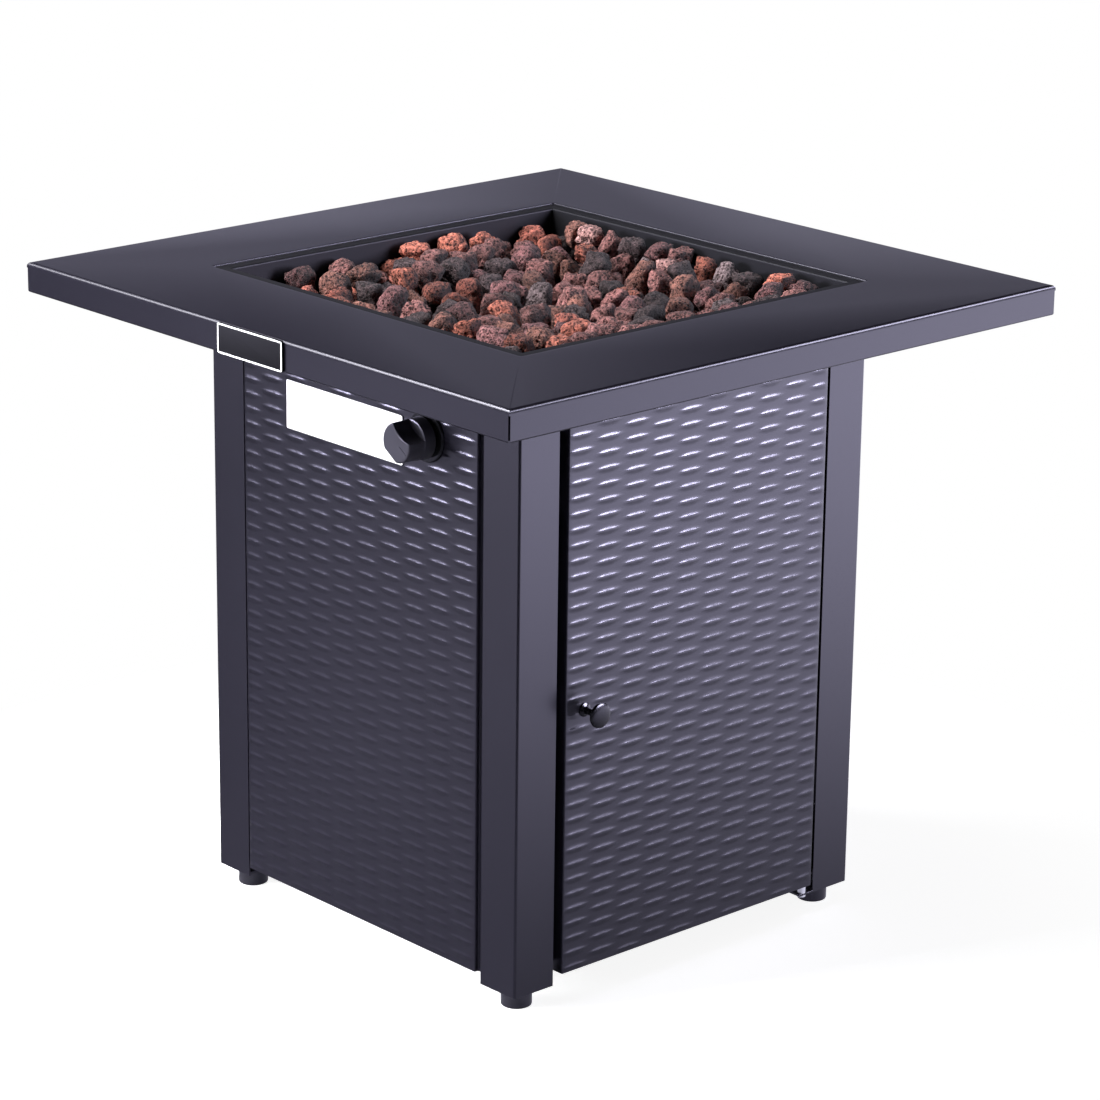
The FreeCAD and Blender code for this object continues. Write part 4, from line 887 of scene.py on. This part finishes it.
def top_profile(sheet=1.5, bend=4.0, low_bend=2.0, lip=14.0, steps=8):
    """Outer and inner points, as many of each: distance out from the centre, and height."""
    angles = np.linspace(0, math.pi / 2, steps + 1)
    high_arc = np.column_stack([np.sin(angles), np.cos(angles)])
    low_arc = np.column_stack([np.cos(angles), -np.sin(angles)])
    high_centre = np.array([half_top - bend, top_high - bend])
    low_centre = np.array([half_top - low_bend, rim_low + low_bend])
    upright = np.array([[half_top, seam_top + 0.05], [half_top, seam_top]])
    return [np.vstack([high_centre + (bend - depth) * high_arc, upright - [depth, 0.0],
                       low_centre + (low_bend - depth) * low_arc, [(half_top - lip, rim_low + depth)]])
            for depth in (0.0, sheet)]


print("points in the top's profile:", [len(part) for part in top_profile()])

# %% Rims with open seams
def rim_side(k, outer, inner, seam=1.27):
    """One side's rim: the closed profile between two mitres, cut back below the upper bend."""
    count = len(outer)
    cut = np.where(outer[:, 1] > seam_top + 0.01, 0.0, seam)
    along = np.array([-1.0, -0.98, -0.5, 0.0, 0.5, 0.98, 1.0])
    wide = len(along)
    skins = [np.stack([(profile[:, 0] - cut)[:, None] * along, -profile[:, :1] + 0 * along,
                       profile[:, 1:] + 0 * along], -1) for profile in (outer, inner)]
    start, last = count * wide, (count - 1) * wide
    faces = [loop[::-1] for loop in sheet_faces(count, wide)] + sheet_faces(count, wide, start)
    for j in range(last, last + wide - 1):
        faces.append([j, j + 1, start + j + 1, start + j])
    for i in np.flatnonzero(cut[1:] > 0).tolist():
        a, b = i * wide, (i + 1) * wide
        faces.append([a, b, start + b, start + a])
        faces.append([b + wide - 1, a + wide - 1, start + a + wide - 1, start + b + wide - 1])
    return turned(np.concatenate(skins).reshape(-1, 3), 90 * k), faces


print("faces in one rim:", len(rim_side(0, *top_profile())[1]))

# %% Flat ring, rims, dark strips behind the seams as painted shade, and studs
def square_ring(reach, corner, height, steps=4, spread=3.0):
    """Closed square ring of points: each corner is an arc, or a sharp corner with near points."""
    t = np.linspace(-1, 1, 2 * steps + 1)
    if corner > 0:
        angle = math.radians(-45) + t * math.pi / 4
        x = reach - corner + corner * np.cos(angle)
        y = -(reach - corner) + corner * np.sin(angle)
    else:
        x = np.where(t < 0, reach + t * spread, reach)
        y = np.where(t < 0, -reach, -reach + t * spread)
    side = np.vstack([np.column_stack([x, y, 0 * t + height]), [reach, 0.0, height]])
    return np.concatenate([turned(side, 90 * k) for k in range(4)])


def folded_top():
    """Flat ring with a rounded opening, four rims, a dark strip behind each seam as painted shade, and the
    studs below.
    """
    outer, inner = top_profile()
    edge = outer[0, 0]
    opening = ((3.0, 4.5, -1.5), (0.0, 3.0, -1.5), (0.0, 3.0, -1.0), (0.13, 3.1, -0.5), (0.5, 3.3, -0.13),
               (1.0, 3.6, 0.0), (3.0, 4.5, 0.0))
    rings = [square_ring(edge, 0, top_high - 1.5)]
    rings += [square_ring(half_open + out, corner, top_high + drop) for out, corner, drop in opening]
    rings = np.array(rings + [square_ring(edge, 0, top_high)])
    flat = (rings.reshape(-1, 3), ring_faces(len(rings), rings.shape[1]))
    # Painted shade: a thin dark strip of coat behind each corner seam stands in for the shade inside the open
    # seam.
    seam_shade_strip, seam_shade_faces = slab((-3.3, -0.3, 618.6), (3.3, 0.3, 641.4))
    seam_shade_strip = turned(seam_shade_strip, 45) + [351.7, -351.7, 0.0]
    shapes = [flat] + [rim_side(k, outer, inner) for k in range(4)]
    shapes += [(turned(seam_shade_strip, 90 * k), seam_shade_faces) for k in range(4)]
    for side in range(4):
        for along in (-150.0, 150.0):
            stud = [polar_ring(r, full_turn(24), h) + [along, -235.0, 0.0]
                    for r, h in ((3.0, 645.5), (3.0, 631.0), (2.4, 630.5))]
            points, faces = ringed(stud)
            shapes.append((turned(points, 90 * side), faces))
    return joined(shapes)


print("points in the top:", len(folded_top()[0]))

# %% The top, welded
def count_open(work):
    """Step that prints how many edges don't have two faces."""
    print("open edges in the top:", sum(not edge.is_manifold for edge in work.edges))


top = make_piece("folded_top", folded_top(), "frame", "charcoal_coat", ["table_top"],
                 crease=40, turn_out=False)
reworked(top.data, weld(1e-5), outward, count_open)
smooth(top.data, 40)
even_shading(top)

# %% [markdown]
# # A flag between the low lamps and the top
# Two low lamps draw the streaks on the woven panels, but from the opposite corners the flat top
# would mirror them as a white glare. A photographer holds a black card, a flag, between lamp and
# table. Light linking does the same in Blender: a collection names the pieces that a lamp reaches,
# and here it only names the top as left out, so every other piece stays lit.

# %% Flag for the low lamps
flag = bpy.data.collections.new("shaded_from_low_lamps")
flag.objects.link(top)
flag.collection_objects[0].light_linking.link_state = "EXCLUDE"
low_boxes = ("low_right_box", "near_left_box")
for name in low_boxes:
    bpy.data.objects[name].light_linking.receiver_collection = flag
print("the top is shaded from", len(low_boxes), "low lamps")

# %% [markdown]
# # Plates and labels
# A name plate is screen printed or anodised aluminium: black, with a white line round its edge. Its
# outline is a rectangle with round corners, drawn once as a ring and stacked. The plate stays bare.

# %% Rounded rectangles
def round_rectangle(half_wide, half_high, corner, steps=6):
    """Closed outline, anticlockwise: four arcs joined by straight runs."""
    arcs = []
    for k, (sx, sy) in enumerate(((1, 1), (-1, 1), (-1, -1), (1, -1))):
        a = np.linspace(0, math.pi / 2, steps + 1) + k * math.pi / 2
        arcs.append(np.column_stack([sx * (half_wide - corner) + corner * np.cos(a),
                                     sy * (half_high - corner) + corner * np.sin(a)]))
    return np.concatenate(arcs)


def on_front(outline, centre, y):
    """Flat outline (across, up) put on a plane that faces the front."""
    return np.column_stack([outline[:, 0] + centre[0], np.full(len(outline), y), outline[:, 1] + centre[1]])


def plate(name, half_wide, half_high, corner, centre, back, front, ease, slot, stands_for=()):
    """Flat plate whose front edge is eased: rings from the back to a slightly smaller front."""
    steps = ((0.0, back), (0.0, front + ease), (ease * 0.3, front + ease * 0.3), (ease, front))
    rings = [on_front(round_rectangle(half_wide - inset, half_high - inset, corner), centre, y)
             for inset, y in steps]
    make_piece(name, ringed(rings), "frame", slot, stands_for, crease=50)


def border(name, half_wide, half_high, corner, width, centre, y, slot, raised=0.06):
    """Thin printed frame: a raised loop between an outer and an inner outline."""
    rings = []
    for inset, lift in ((0.0, 0.0), (0.0, raised), (width, raised), (width, 0.0)):
        outline = round_rectangle(half_wide - inset, half_high - inset, max(corner - inset, 0.3))
        rings.append(on_front(outline, centre, y - lift))
    make_piece(name, tube(rings), "frame", slot, crease=50)


print("outline of a plate:", len(round_rectangle(48.0, 14.7, 2.2)), "points")

# %% Name plate and label
plate("bare_name_plate", 48.0, 14.7, 2.2, (0.0, 632.0), -355.5, -358.0, 0.25, "plate_black", ["name_plate"])
border("plate_border", 47.7, 14.4, 2.0, 1.6, (0.0, 632.0), -358.0, "white_print")
plate("blank_label", 86.25, 24.2, 1.5, (-18.75, 534.2), -230.6, -231.25, 0.1, "white_print")
print("plate and label made")

# %% [markdown]
# # Turned pieces
# A knob or a foot is turned on a lathe or moulded round. Its profile, radius against height, is
# swept about an axis. Ribs are a small wave added to the radius.

# %% Sweeping a profile
def swept(profile, sides=64, wave=0, depth=0.0, waved=(0.0, 0.0)):
    """Rings about +Z: radius r becomes r - depth (1 + cos(wave a)) / 2 inside the waved heights."""
    profile = np.asarray(profile, float)
    radius, height = profile[:, :1], profile[:, 1:]
    angle = full_turn(sides)
    inside = (height > waved[0]) & (height < waved[1])
    return polar_ring(radius - inside * depth * (1 + np.cos(wave * angle)) / 2, angle, height)


def eased(points, radius, steps=4):
    """Profile with every inner corner rounded: the corner becomes a curve between points near it."""
    points = np.asarray(points, float)
    made = [points[:1]]
    t = np.linspace(0, 1, steps + 1)[:, None]
    for before, here, after in zip(points, points[1:], points[2:]):
        a, b = before - here, after - here
        near = min(radius, 0.45 * np.linalg.norm(a), 0.45 * np.linalg.norm(b))
        p, q = here + a / np.linalg.norm(a) * near, here + b / np.linalg.norm(b) * near
        made.append((1 - t) ** 2 * p + 2 * t * (1 - t) * here + t ** 2 * q)
    made.append(points[-1:])
    return np.vstack(made)


def along_x(points, place):
    """Turned shape laid with its axis along +X."""
    return np.stack([points[..., 2] + place[0], points[..., 0] + place[1], points[..., 1] + place[2]], -1)


def along_minus_y(points, place, turn=0.0):
    """Turned shape laid with its axis along -Y, after a turn about it."""
    points = turned(points, turn)
    return np.stack([points[..., 0] + place[0], place[1] - points[..., 2], points[..., 1] + place[2]], -1)


print("a swept profile of 3 points has", swept([(1, 0), (1, 1), (0.1, 1)]).shape, "coordinates")

# %% Door knob, feet and bezel
cap = [(0.02, 0), (7.0, 0), (7.0, 1.25), (3.6, 2.5), (3.6, 17.0), (11.2, 19.5), (12.4, 20.7), (12.4, 22.3)]
dome = [(12.4 * math.cos(a), 22.3 + 2.7 * math.sin(a)) for a in np.linspace(0.12, 1.56, 12)]
rings = along_x(swept(eased(cap + dome, 0.6)), (231.6, -146.5, 293.0))
make_piece("turned_door_knob", ringed(rings), "door", "black_coat", ["door_knob"], crease=40)

pad = eased([(0.02, 0), (15.0, 0), (15.0, 17.7), (14.0, 18.7), (0.02, 18.7)], 1.6)
for name, (sx, sy) in corner_signs.items():
    rings = swept(pad, sides=108, wave=27, depth=0.5, waved=(1.7, 17.0)) + [sx * 202.5, sy * 202.5, 0]
    make_piece("ribbed_foot_pad_" + name, ringed(rings), "foot_" + name, "black_plastic",
               ["foot_pad_" + name], crease=40)

bezel = eased([(11.3, 0), (24.9, 0), (24.9, 1.6), (24.0, 3.0), (11.3, 3.0)], 0.5)
rings = along_minus_y(swept(bezel, 96), (102.0, -230.0, 546.0))
make_piece("turned_bezel", tube(rings), "frame", "black_coat", ["knob_bezel"], crease=40)
print("feet:", len(corner_signs), "points in the bezel:", rings.size // 3)

# %% [markdown]
# # The control knob
# A round skirt carries a barrel that is scooped hollow on one side and cut flat on the other, which
# leaves a grip. In polar form its outline is the nearest of the barrel, the circle and the flat.

# %% Outline and rings of the knob
def grip_radius(angle, barrel, waist=9.4, scoop=30.0, flat=16.4):
    """Distance to the outline: the barrel, or the scoop's circle above, or the flat below, if nearer."""
    rise = np.sin(angle)
    reach = rise * (waist + scoop)
    under = reach ** 2 - ((waist + scoop) ** 2 - scoop ** 2)
    hollow = np.where((under > 0) & (rise > 0), reach - np.sqrt(np.clip(under, 0, None)), 1e3)
    below = np.where(rise < -0.1, flat / np.maximum(-rise, 0.1), 1e3)
    return np.minimum(np.minimum(barrel, hollow), below)


def knob_rings(sides=180):
    """Rings from the hollow back over skirt, ledge, bar and rounded front to the middle."""
    angle = full_turn(sides)
    rows = [(0.02, 5.0), (13.5, 5.0), (13.5, 0.0), (20.1, 0.0),
            (20.4, 0.15), (20.5, 0.5), (19.55, 11.3), (19.4, 11.8)]
    rows += [(grip_radius(angle, 19.2) * k + 19.2 * (1 - k), 11.95 + 0.05 * k) for k in np.linspace(0, 1, 4)]
    for height in (12.2, 12.6, 14.0, 18.0, 24.0, 29.5):
        fillet = 0.5 * math.exp((12.0 - height) / 0.8) if height < 14 else 0.0
        rows.append((grip_radius(angle, 19.5 - 0.5 * (height - 12.0) / 19.0) + fillet, height))
    front = grip_radius(angle, 19.0)
    rows += [(np.clip(front - 1.5 * (1 - math.cos(a)), 0.1, None), 29.5 + 1.5 * math.sin(a))
             for a in np.linspace(0.2, math.pi / 2, 6)]
    rows += [((front - 1.5) * share, 31.0 - 0.25 * (1 - share)) for share in (0.9, 0.6, 0.3, 0.002)]
    return np.array([polar_ring(radius, angle, height) for radius, height in rows])


print("knob outline from", round(float(grip_radius(full_turn(180), 19.2).min()), 1), "mm")

# %% Knob and mark
knob_place = {"place": (102.0, -237.0, 546.0), "turn": -34.0}
make_piece("grip_knob", ringed(along_minus_y(knob_rings(), **knob_place)), "knob", "black_plastic",
           ["control_knob"], crease=38)
points, faces = slab((5.1, -0.7, 30.7), (16.7, 0.7, 31.25))
mark = (along_minus_y(points, **knob_place), faces)
make_piece("knob_mark", mark, "knob", "black_plastic", ["knob_pointer"])
print("knob turned by", knob_place["turn"], "degrees at rest")

# %% [markdown]
# # Hexagon nuts
# A nut is a hexagon whose corners are turned away by a cone at both ends. In polar form its radius
# is the smaller of the hexagon's and the cone's, which gives the curved edges of a real nut.

# %% A nut
def nut(flats, height, bore, sides=72):
    """Rings: bore, chamfered end, flats, chamfered end, bore."""
    angle = full_turn(sides)
    hexagon = flats / 2 / np.cos((angle % (math.pi / 3)) - math.pi / 6)
    corner, chamfer = flats / math.sqrt(3), flats / 2 * 0.98
    rows = ((bore, 0.0), (chamfer, 0.0), (corner, height * 0.16), (corner, height * 0.84), (chamfer, height),
            (bore, height), (bore, 0.0))
    rings = np.array([polar_ring(np.minimum(hexagon, cone), angle, h) for cone, h in rows])
    return rings.reshape(-1, 3), ring_faces(len(rings), sides)


print("faces in a nut:", len(nut(8.0, 4.0, 2.5)[1]))

# %% Nuts in place
points, faces = nut(8.0, 4.0, 2.5)
on_sheet = np.stack([points[:, 0], points[:, 2] - 224.3, points[:, 1]], -1)
nuts = joined([(turned(on_sheet + [x, 0, height], angle), faces)
               for angle in (0, 180, 270) for x in (-188.25, 188.25) for height in (90.0, 572.0)])
make_piece("chamfered_panel_nuts", nuts, "frame", "zinc", ["panel_nuts"], crease=30)
points, faces = nut(10.0, 5.0, 3.0)
nuts = joined([(turned(points + [along, -235.0, 637.5], 90 * side), faces)
               for side in range(4) for along in (-150.0, 150.0)])
make_piece("chamfered_top_nuts", nuts, "frame", "zinc", ["top_nuts"], crease=30)
points, faces = nut(27.0, 7.0, 9.45)
make_piece("chamfered_spud_nut", (points + [0, 0, 560.5], faces), "frame", "brass", ["spud_nut"], crease=30)
merged_copy("feed_nuts", "brass")
print("points in the spud nut:", len(points))

# %% [markdown]
# # Lava stones
# The model holds every stone as a plain faceted block in its own room of the heap. A real stone is
# a broken, bubbly lump. From the block's planes comes a soft star shape: along a direction w its
# radius is (sum of (n.w / d)^p)^(-1/p) over the planes with normal n and distance d, which is the
# block with rounded corners and always stays inside it. A few planes more per stone knock corners
# off, as when the rock was crushed, and lumps and pores then only go inwards.

# %% Blocks of the heap
def heap_blocks(node):
    """Middle, plane normals and plane distances of every separate block of the node, in millimetres."""
    mesh = nodes[node].data
    raw = np.empty(len(mesh.vertices) * 3)
    mesh.vertices.foreach_get("co", raw)
    points = raw.reshape(-1, 3) * 1000
    loops = np.empty(len(mesh.loops), int)
    mesh.loops.foreach_get("vertex_index", loops)
    keys, same = np.unique(np.round(points / 0.02).astype(int), axis=0, return_inverse=True)
    triangles = same.reshape(-1)[loops.reshape(-1, 3)]
    spots = keys * 0.02
    label = np.arange(len(keys))
    while True:
        low = label[triangles].min(1)
        fresh = label.copy()
        for k in range(3):
            np.minimum.at(fresh, triangles[:, k], low)
        fresh = fresh[fresh]
        if (fresh == label).all():
            break
        label = fresh
    blocks = []
    for one in np.unique(label):
        mine = triangles[label[triangles[:, 0]] == one]
        a, b, c = (spots[mine[:, k]] for k in range(3))
        normal = np.cross(b - a, c - a)
        area = np.linalg.norm(normal, axis=1)
        keep = area > 1e-3
        normal = normal[keep] / area[keep][:, None]
        own = spots[label == one]
        middle = (own.min(0) + own.max(0)) / 2 * 0.4 + own.mean(0) * 0.6
        distance = ((a[keep] - middle) * normal).sum(1)
        planes = np.unique(np.round(np.column_stack([normal * 50, distance * 2])).astype(int), axis=0)
        n = unit(planes[:, :3])
        near = normal @ n.T > 0.999
        d = np.where(near, distance[:, None], np.inf).min(0)
        met = near.any(0)
        blocks.append((middle, n[met], np.maximum(d[met], 1.0)))
    return blocks


blocks = heap_blocks("lava_rocks")
print("stones:", len(blocks), "planes in all:", sum(len(b[1]) for b in blocks))

# %% Noise for stones
def dice(cells, salt):
    """Repeatable numbers 0..1 for whole-number cells: bits of a large product are mixed."""
    c = cells.astype(np.int64)
    h = (c[..., 0] * 73856093) ^ (c[..., 1] * 19349663) ^ (c[..., 2] * 83492791) ^ (salt * 2654435761)
    h = (h ^ (h >> 13)) * 1274126177 & 0x7FFFFFFF
    return ((h ^ (h >> 16)) & 0xFFFF) / 65535.0


def lumps(points, size, salt):
    """Smooth noise -1..1: random values on a lattice of the given size, blended between its corners."""
    scaled = points / size
    base = np.floor(scaled)
    f = scaled - base
    f = f * f * (3 - 2 * f)
    total = np.zeros(len(points))
    for corner in np.ndindex(2, 2, 2):
        weight = np.prod(np.where(corner, f, 1 - f), axis=1)
        total += weight * dice(base + corner, salt)
    return total * 2 - 1


def pores(points, size, salt, radius):
    """Depth 0..1 of round pores: one pore at a random spot of each lattice cell, nearest one counts."""
    scaled = points / size
    base = np.floor(scaled)
    deepest = np.zeros(len(points))
    for step in np.ndindex(3, 3, 3):
        cell = base + np.array(step) - 1
        spot = cell + np.stack([dice(cell, salt + n) for n in (1, 2, 3)], -1)
        wide = radius * (0.45 + 0.75 * dice(cell, salt + 4))
        deepest = np.maximum(deepest, smooth_fall(np.linalg.norm(scaled - spot, axis=1) / wide))
    return deepest


print("numbers for one cell:", dice(np.array([[1, 2, 3]]), 7))

# %% [markdown]
# # Colours of the stones
# Lava from one bag runs from rust through mauve brown to ash and dark grey. Each stone draws one of
# these, and the stones that stand out in front of a viewer get theirs from a given list.

# %% Tints
tints = {"rust": (0.34, 0.132, 0.092), "dark_rust": (0.25, 0.095, 0.070), "mauve": (0.175, 0.093, 0.090),
         "plum": (0.110, 0.059, 0.063), "brown": (0.145, 0.077, 0.062), "ash": (0.115, 0.105, 0.115),
         "dark": (0.042, 0.034, 0.038), "pale": (0.40, 0.27, 0.26), "pink": (0.30, 0.165, 0.17)}
shares = {"rust": 0.06, "dark_rust": 0.12, "mauve": 0.28, "plum": 0.20, "brown": 0.15, "ash": 0.03,
          "dark": 0.16}
chosen = [(-214, 82, "rust"), (-200, 46, "rust"), (-198, 17, "rust"), (-215, -62, "brown"),
          (-179, -129, "rust"), (-198, -151, "plum"), (-171, 161, "rust"), (-155, 165, "rust"),
          (-140, 182, "pink"), (-94, 174, "rust"), (-196, 212, "dark_rust"), (-130, 212, "pale"),
          (48, 212, "rust"), (146, 212, "rust"), (1, 212, "mauve"), (85, -37, "rust"),
          (79, -11, "dark_rust"), (-50, -151, "rust"), (-110, -155, "rust"), (125, -150, "dark_rust"),
          (77, -143, "pink"), (21, -162, "rust"), (-77, -20, "dark_rust"), (-154, -23, "dark_rust"),
          (-190, 138, "mauve"), (-136, -1, "dark"), (-43, -123, "dark"), (-191, -22, "dark"),
          (144, 112, "ash"), (90, 212, "dark"), (-33, 154, "pale"), (24, 178, "pale"),
          (17, 50, "mauve"), (82, 42, "mauve"), (108, -24, "dark")]

print("tints:", len(tints), "stones coloured by hand:", len(chosen))

# %% Shape of a stone
def sphere_points(level):
    """Unit directions and triangles of an icosphere."""
    work = bmesh.new()
    bmesh.ops.create_icosphere(work, subdivisions=level, radius=1.0)
    spots = np.array([v.co[:] for v in work.verts])
    faces = np.array([[v.index for v in f.verts] for f in work.faces])
    work.free()
    return unit(spots), faces


def broken(block, salt, count=7):
    """The block with corners knocked off: extra planes across random directions w, each at a share of
    the block's own reach 1 / max(n.w / d); breaks that face up stay shallower."""
    middle, n, d = block
    toss = np.random.default_rng(salt)
    w = unit(toss.normal(size=(count, 3)))
    reach = 1.0 / (w @ n.T / d[None, :]).max(1)
    share = np.minimum(toss.uniform(0.62, 0.92, count) + 0.14 * np.clip(w[:, 2], 0, 1), 0.97)
    return middle, np.vstack([n, w]), np.concatenate([d, reach * share])


def stone(block, level_points, salt, softness):
    """Star shape of the block's planes, less lumps and pores; returns points and pore depths."""
    middle, n, d = block
    ratio = np.clip(level_points @ n.T / d[None, :], 0, None)
    radius = (ratio ** softness).sum(1) ** (-1.0 / softness)
    points = middle + level_points * radius[:, None]
    dig = 0.12 * radius * np.clip(lumps(points, 13.0, salt), 0, 1)
    for depth, size, more in ((3.2, 6.5, 9), (1.6, 3.1, 5)):
        dig += depth * np.clip(lumps(points, size, salt + more), 0, 1)
    pit = np.maximum(pores(points, 7.5, salt, 0.40), 0.8 * pores(points, 4.5, salt + 50, 0.42))
    dig += 3.0 * pit
    dig = np.minimum(dig, radius * 0.5)
    return points - level_points * dig[:, None], pit


# %% Batches of stones
fine, coarse = sphere_points(4), sphere_points(3)
most_triangles, seen_from_above = 190000, 590
draw = np.random.default_rng(5)
middles = np.array([block[0] for block in blocks])
odds = np.array(list(shares.values()))
picked = draw.choice(list(shares), size=len(blocks), p=odds / odds.sum())
for x, y, tint in chosen:
    picked[np.argmin(np.hypot(middles[:, 0] - x, middles[:, 1] - y) - 0.8 * middles[:, 2])] = tint
batches, count = [[]], 0
for k, block in enumerate(blocks):
    sphere, triangles = fine if block[0][2] > seen_from_above else coarse
    if count + len(triangles) > most_triangles:
        batches.append([])
        count = 0
    points, pit = stone(broken(block, 31 * k + 7), sphere, 31 * k, 26.0)
    colour = np.array(tints[picked[k]]) * draw.uniform(0.55, 1.45) * (0.95, 0.80, 0.79)
    batches[-1].append((points, triangles, pit, np.tile([*colour, 1.0], (len(points), 1))))
    count += len(triangles)
for k, batch in enumerate(batches):
    points, triangles, pit, colour = ([one[part] for one in batch] for part in range(4))
    starts = np.cumsum([0] + [len(p) for p in points])
    faces = np.concatenate([t + start for t, start in zip(triangles, starts)])
    shape = (np.concatenate(points), faces.tolist())
    heap = make_piece("lava_stones_%d" % (k + 1), shape, "frame", "lava_stone", ["lava_rocks"],
                      crease=180, turn_out=False)
    # The pore attribute sets how much painted shade the lava finish puts in each pore.
    pore = heap.data.attributes.new("pore", "FLOAT", "POINT")
    pore.data.foreach_set("value", np.concatenate(pit).astype(np.float32))
    tint = heap.data.color_attributes.new("tint", "FLOAT_COLOR", "POINT")
    tint.data.foreach_set("color", np.concatenate(colour).astype(np.float32).ravel())
    print("heap", k + 1, "triangles", len(faces), "top", round(float(shape[0][:, 2].max()), 1))
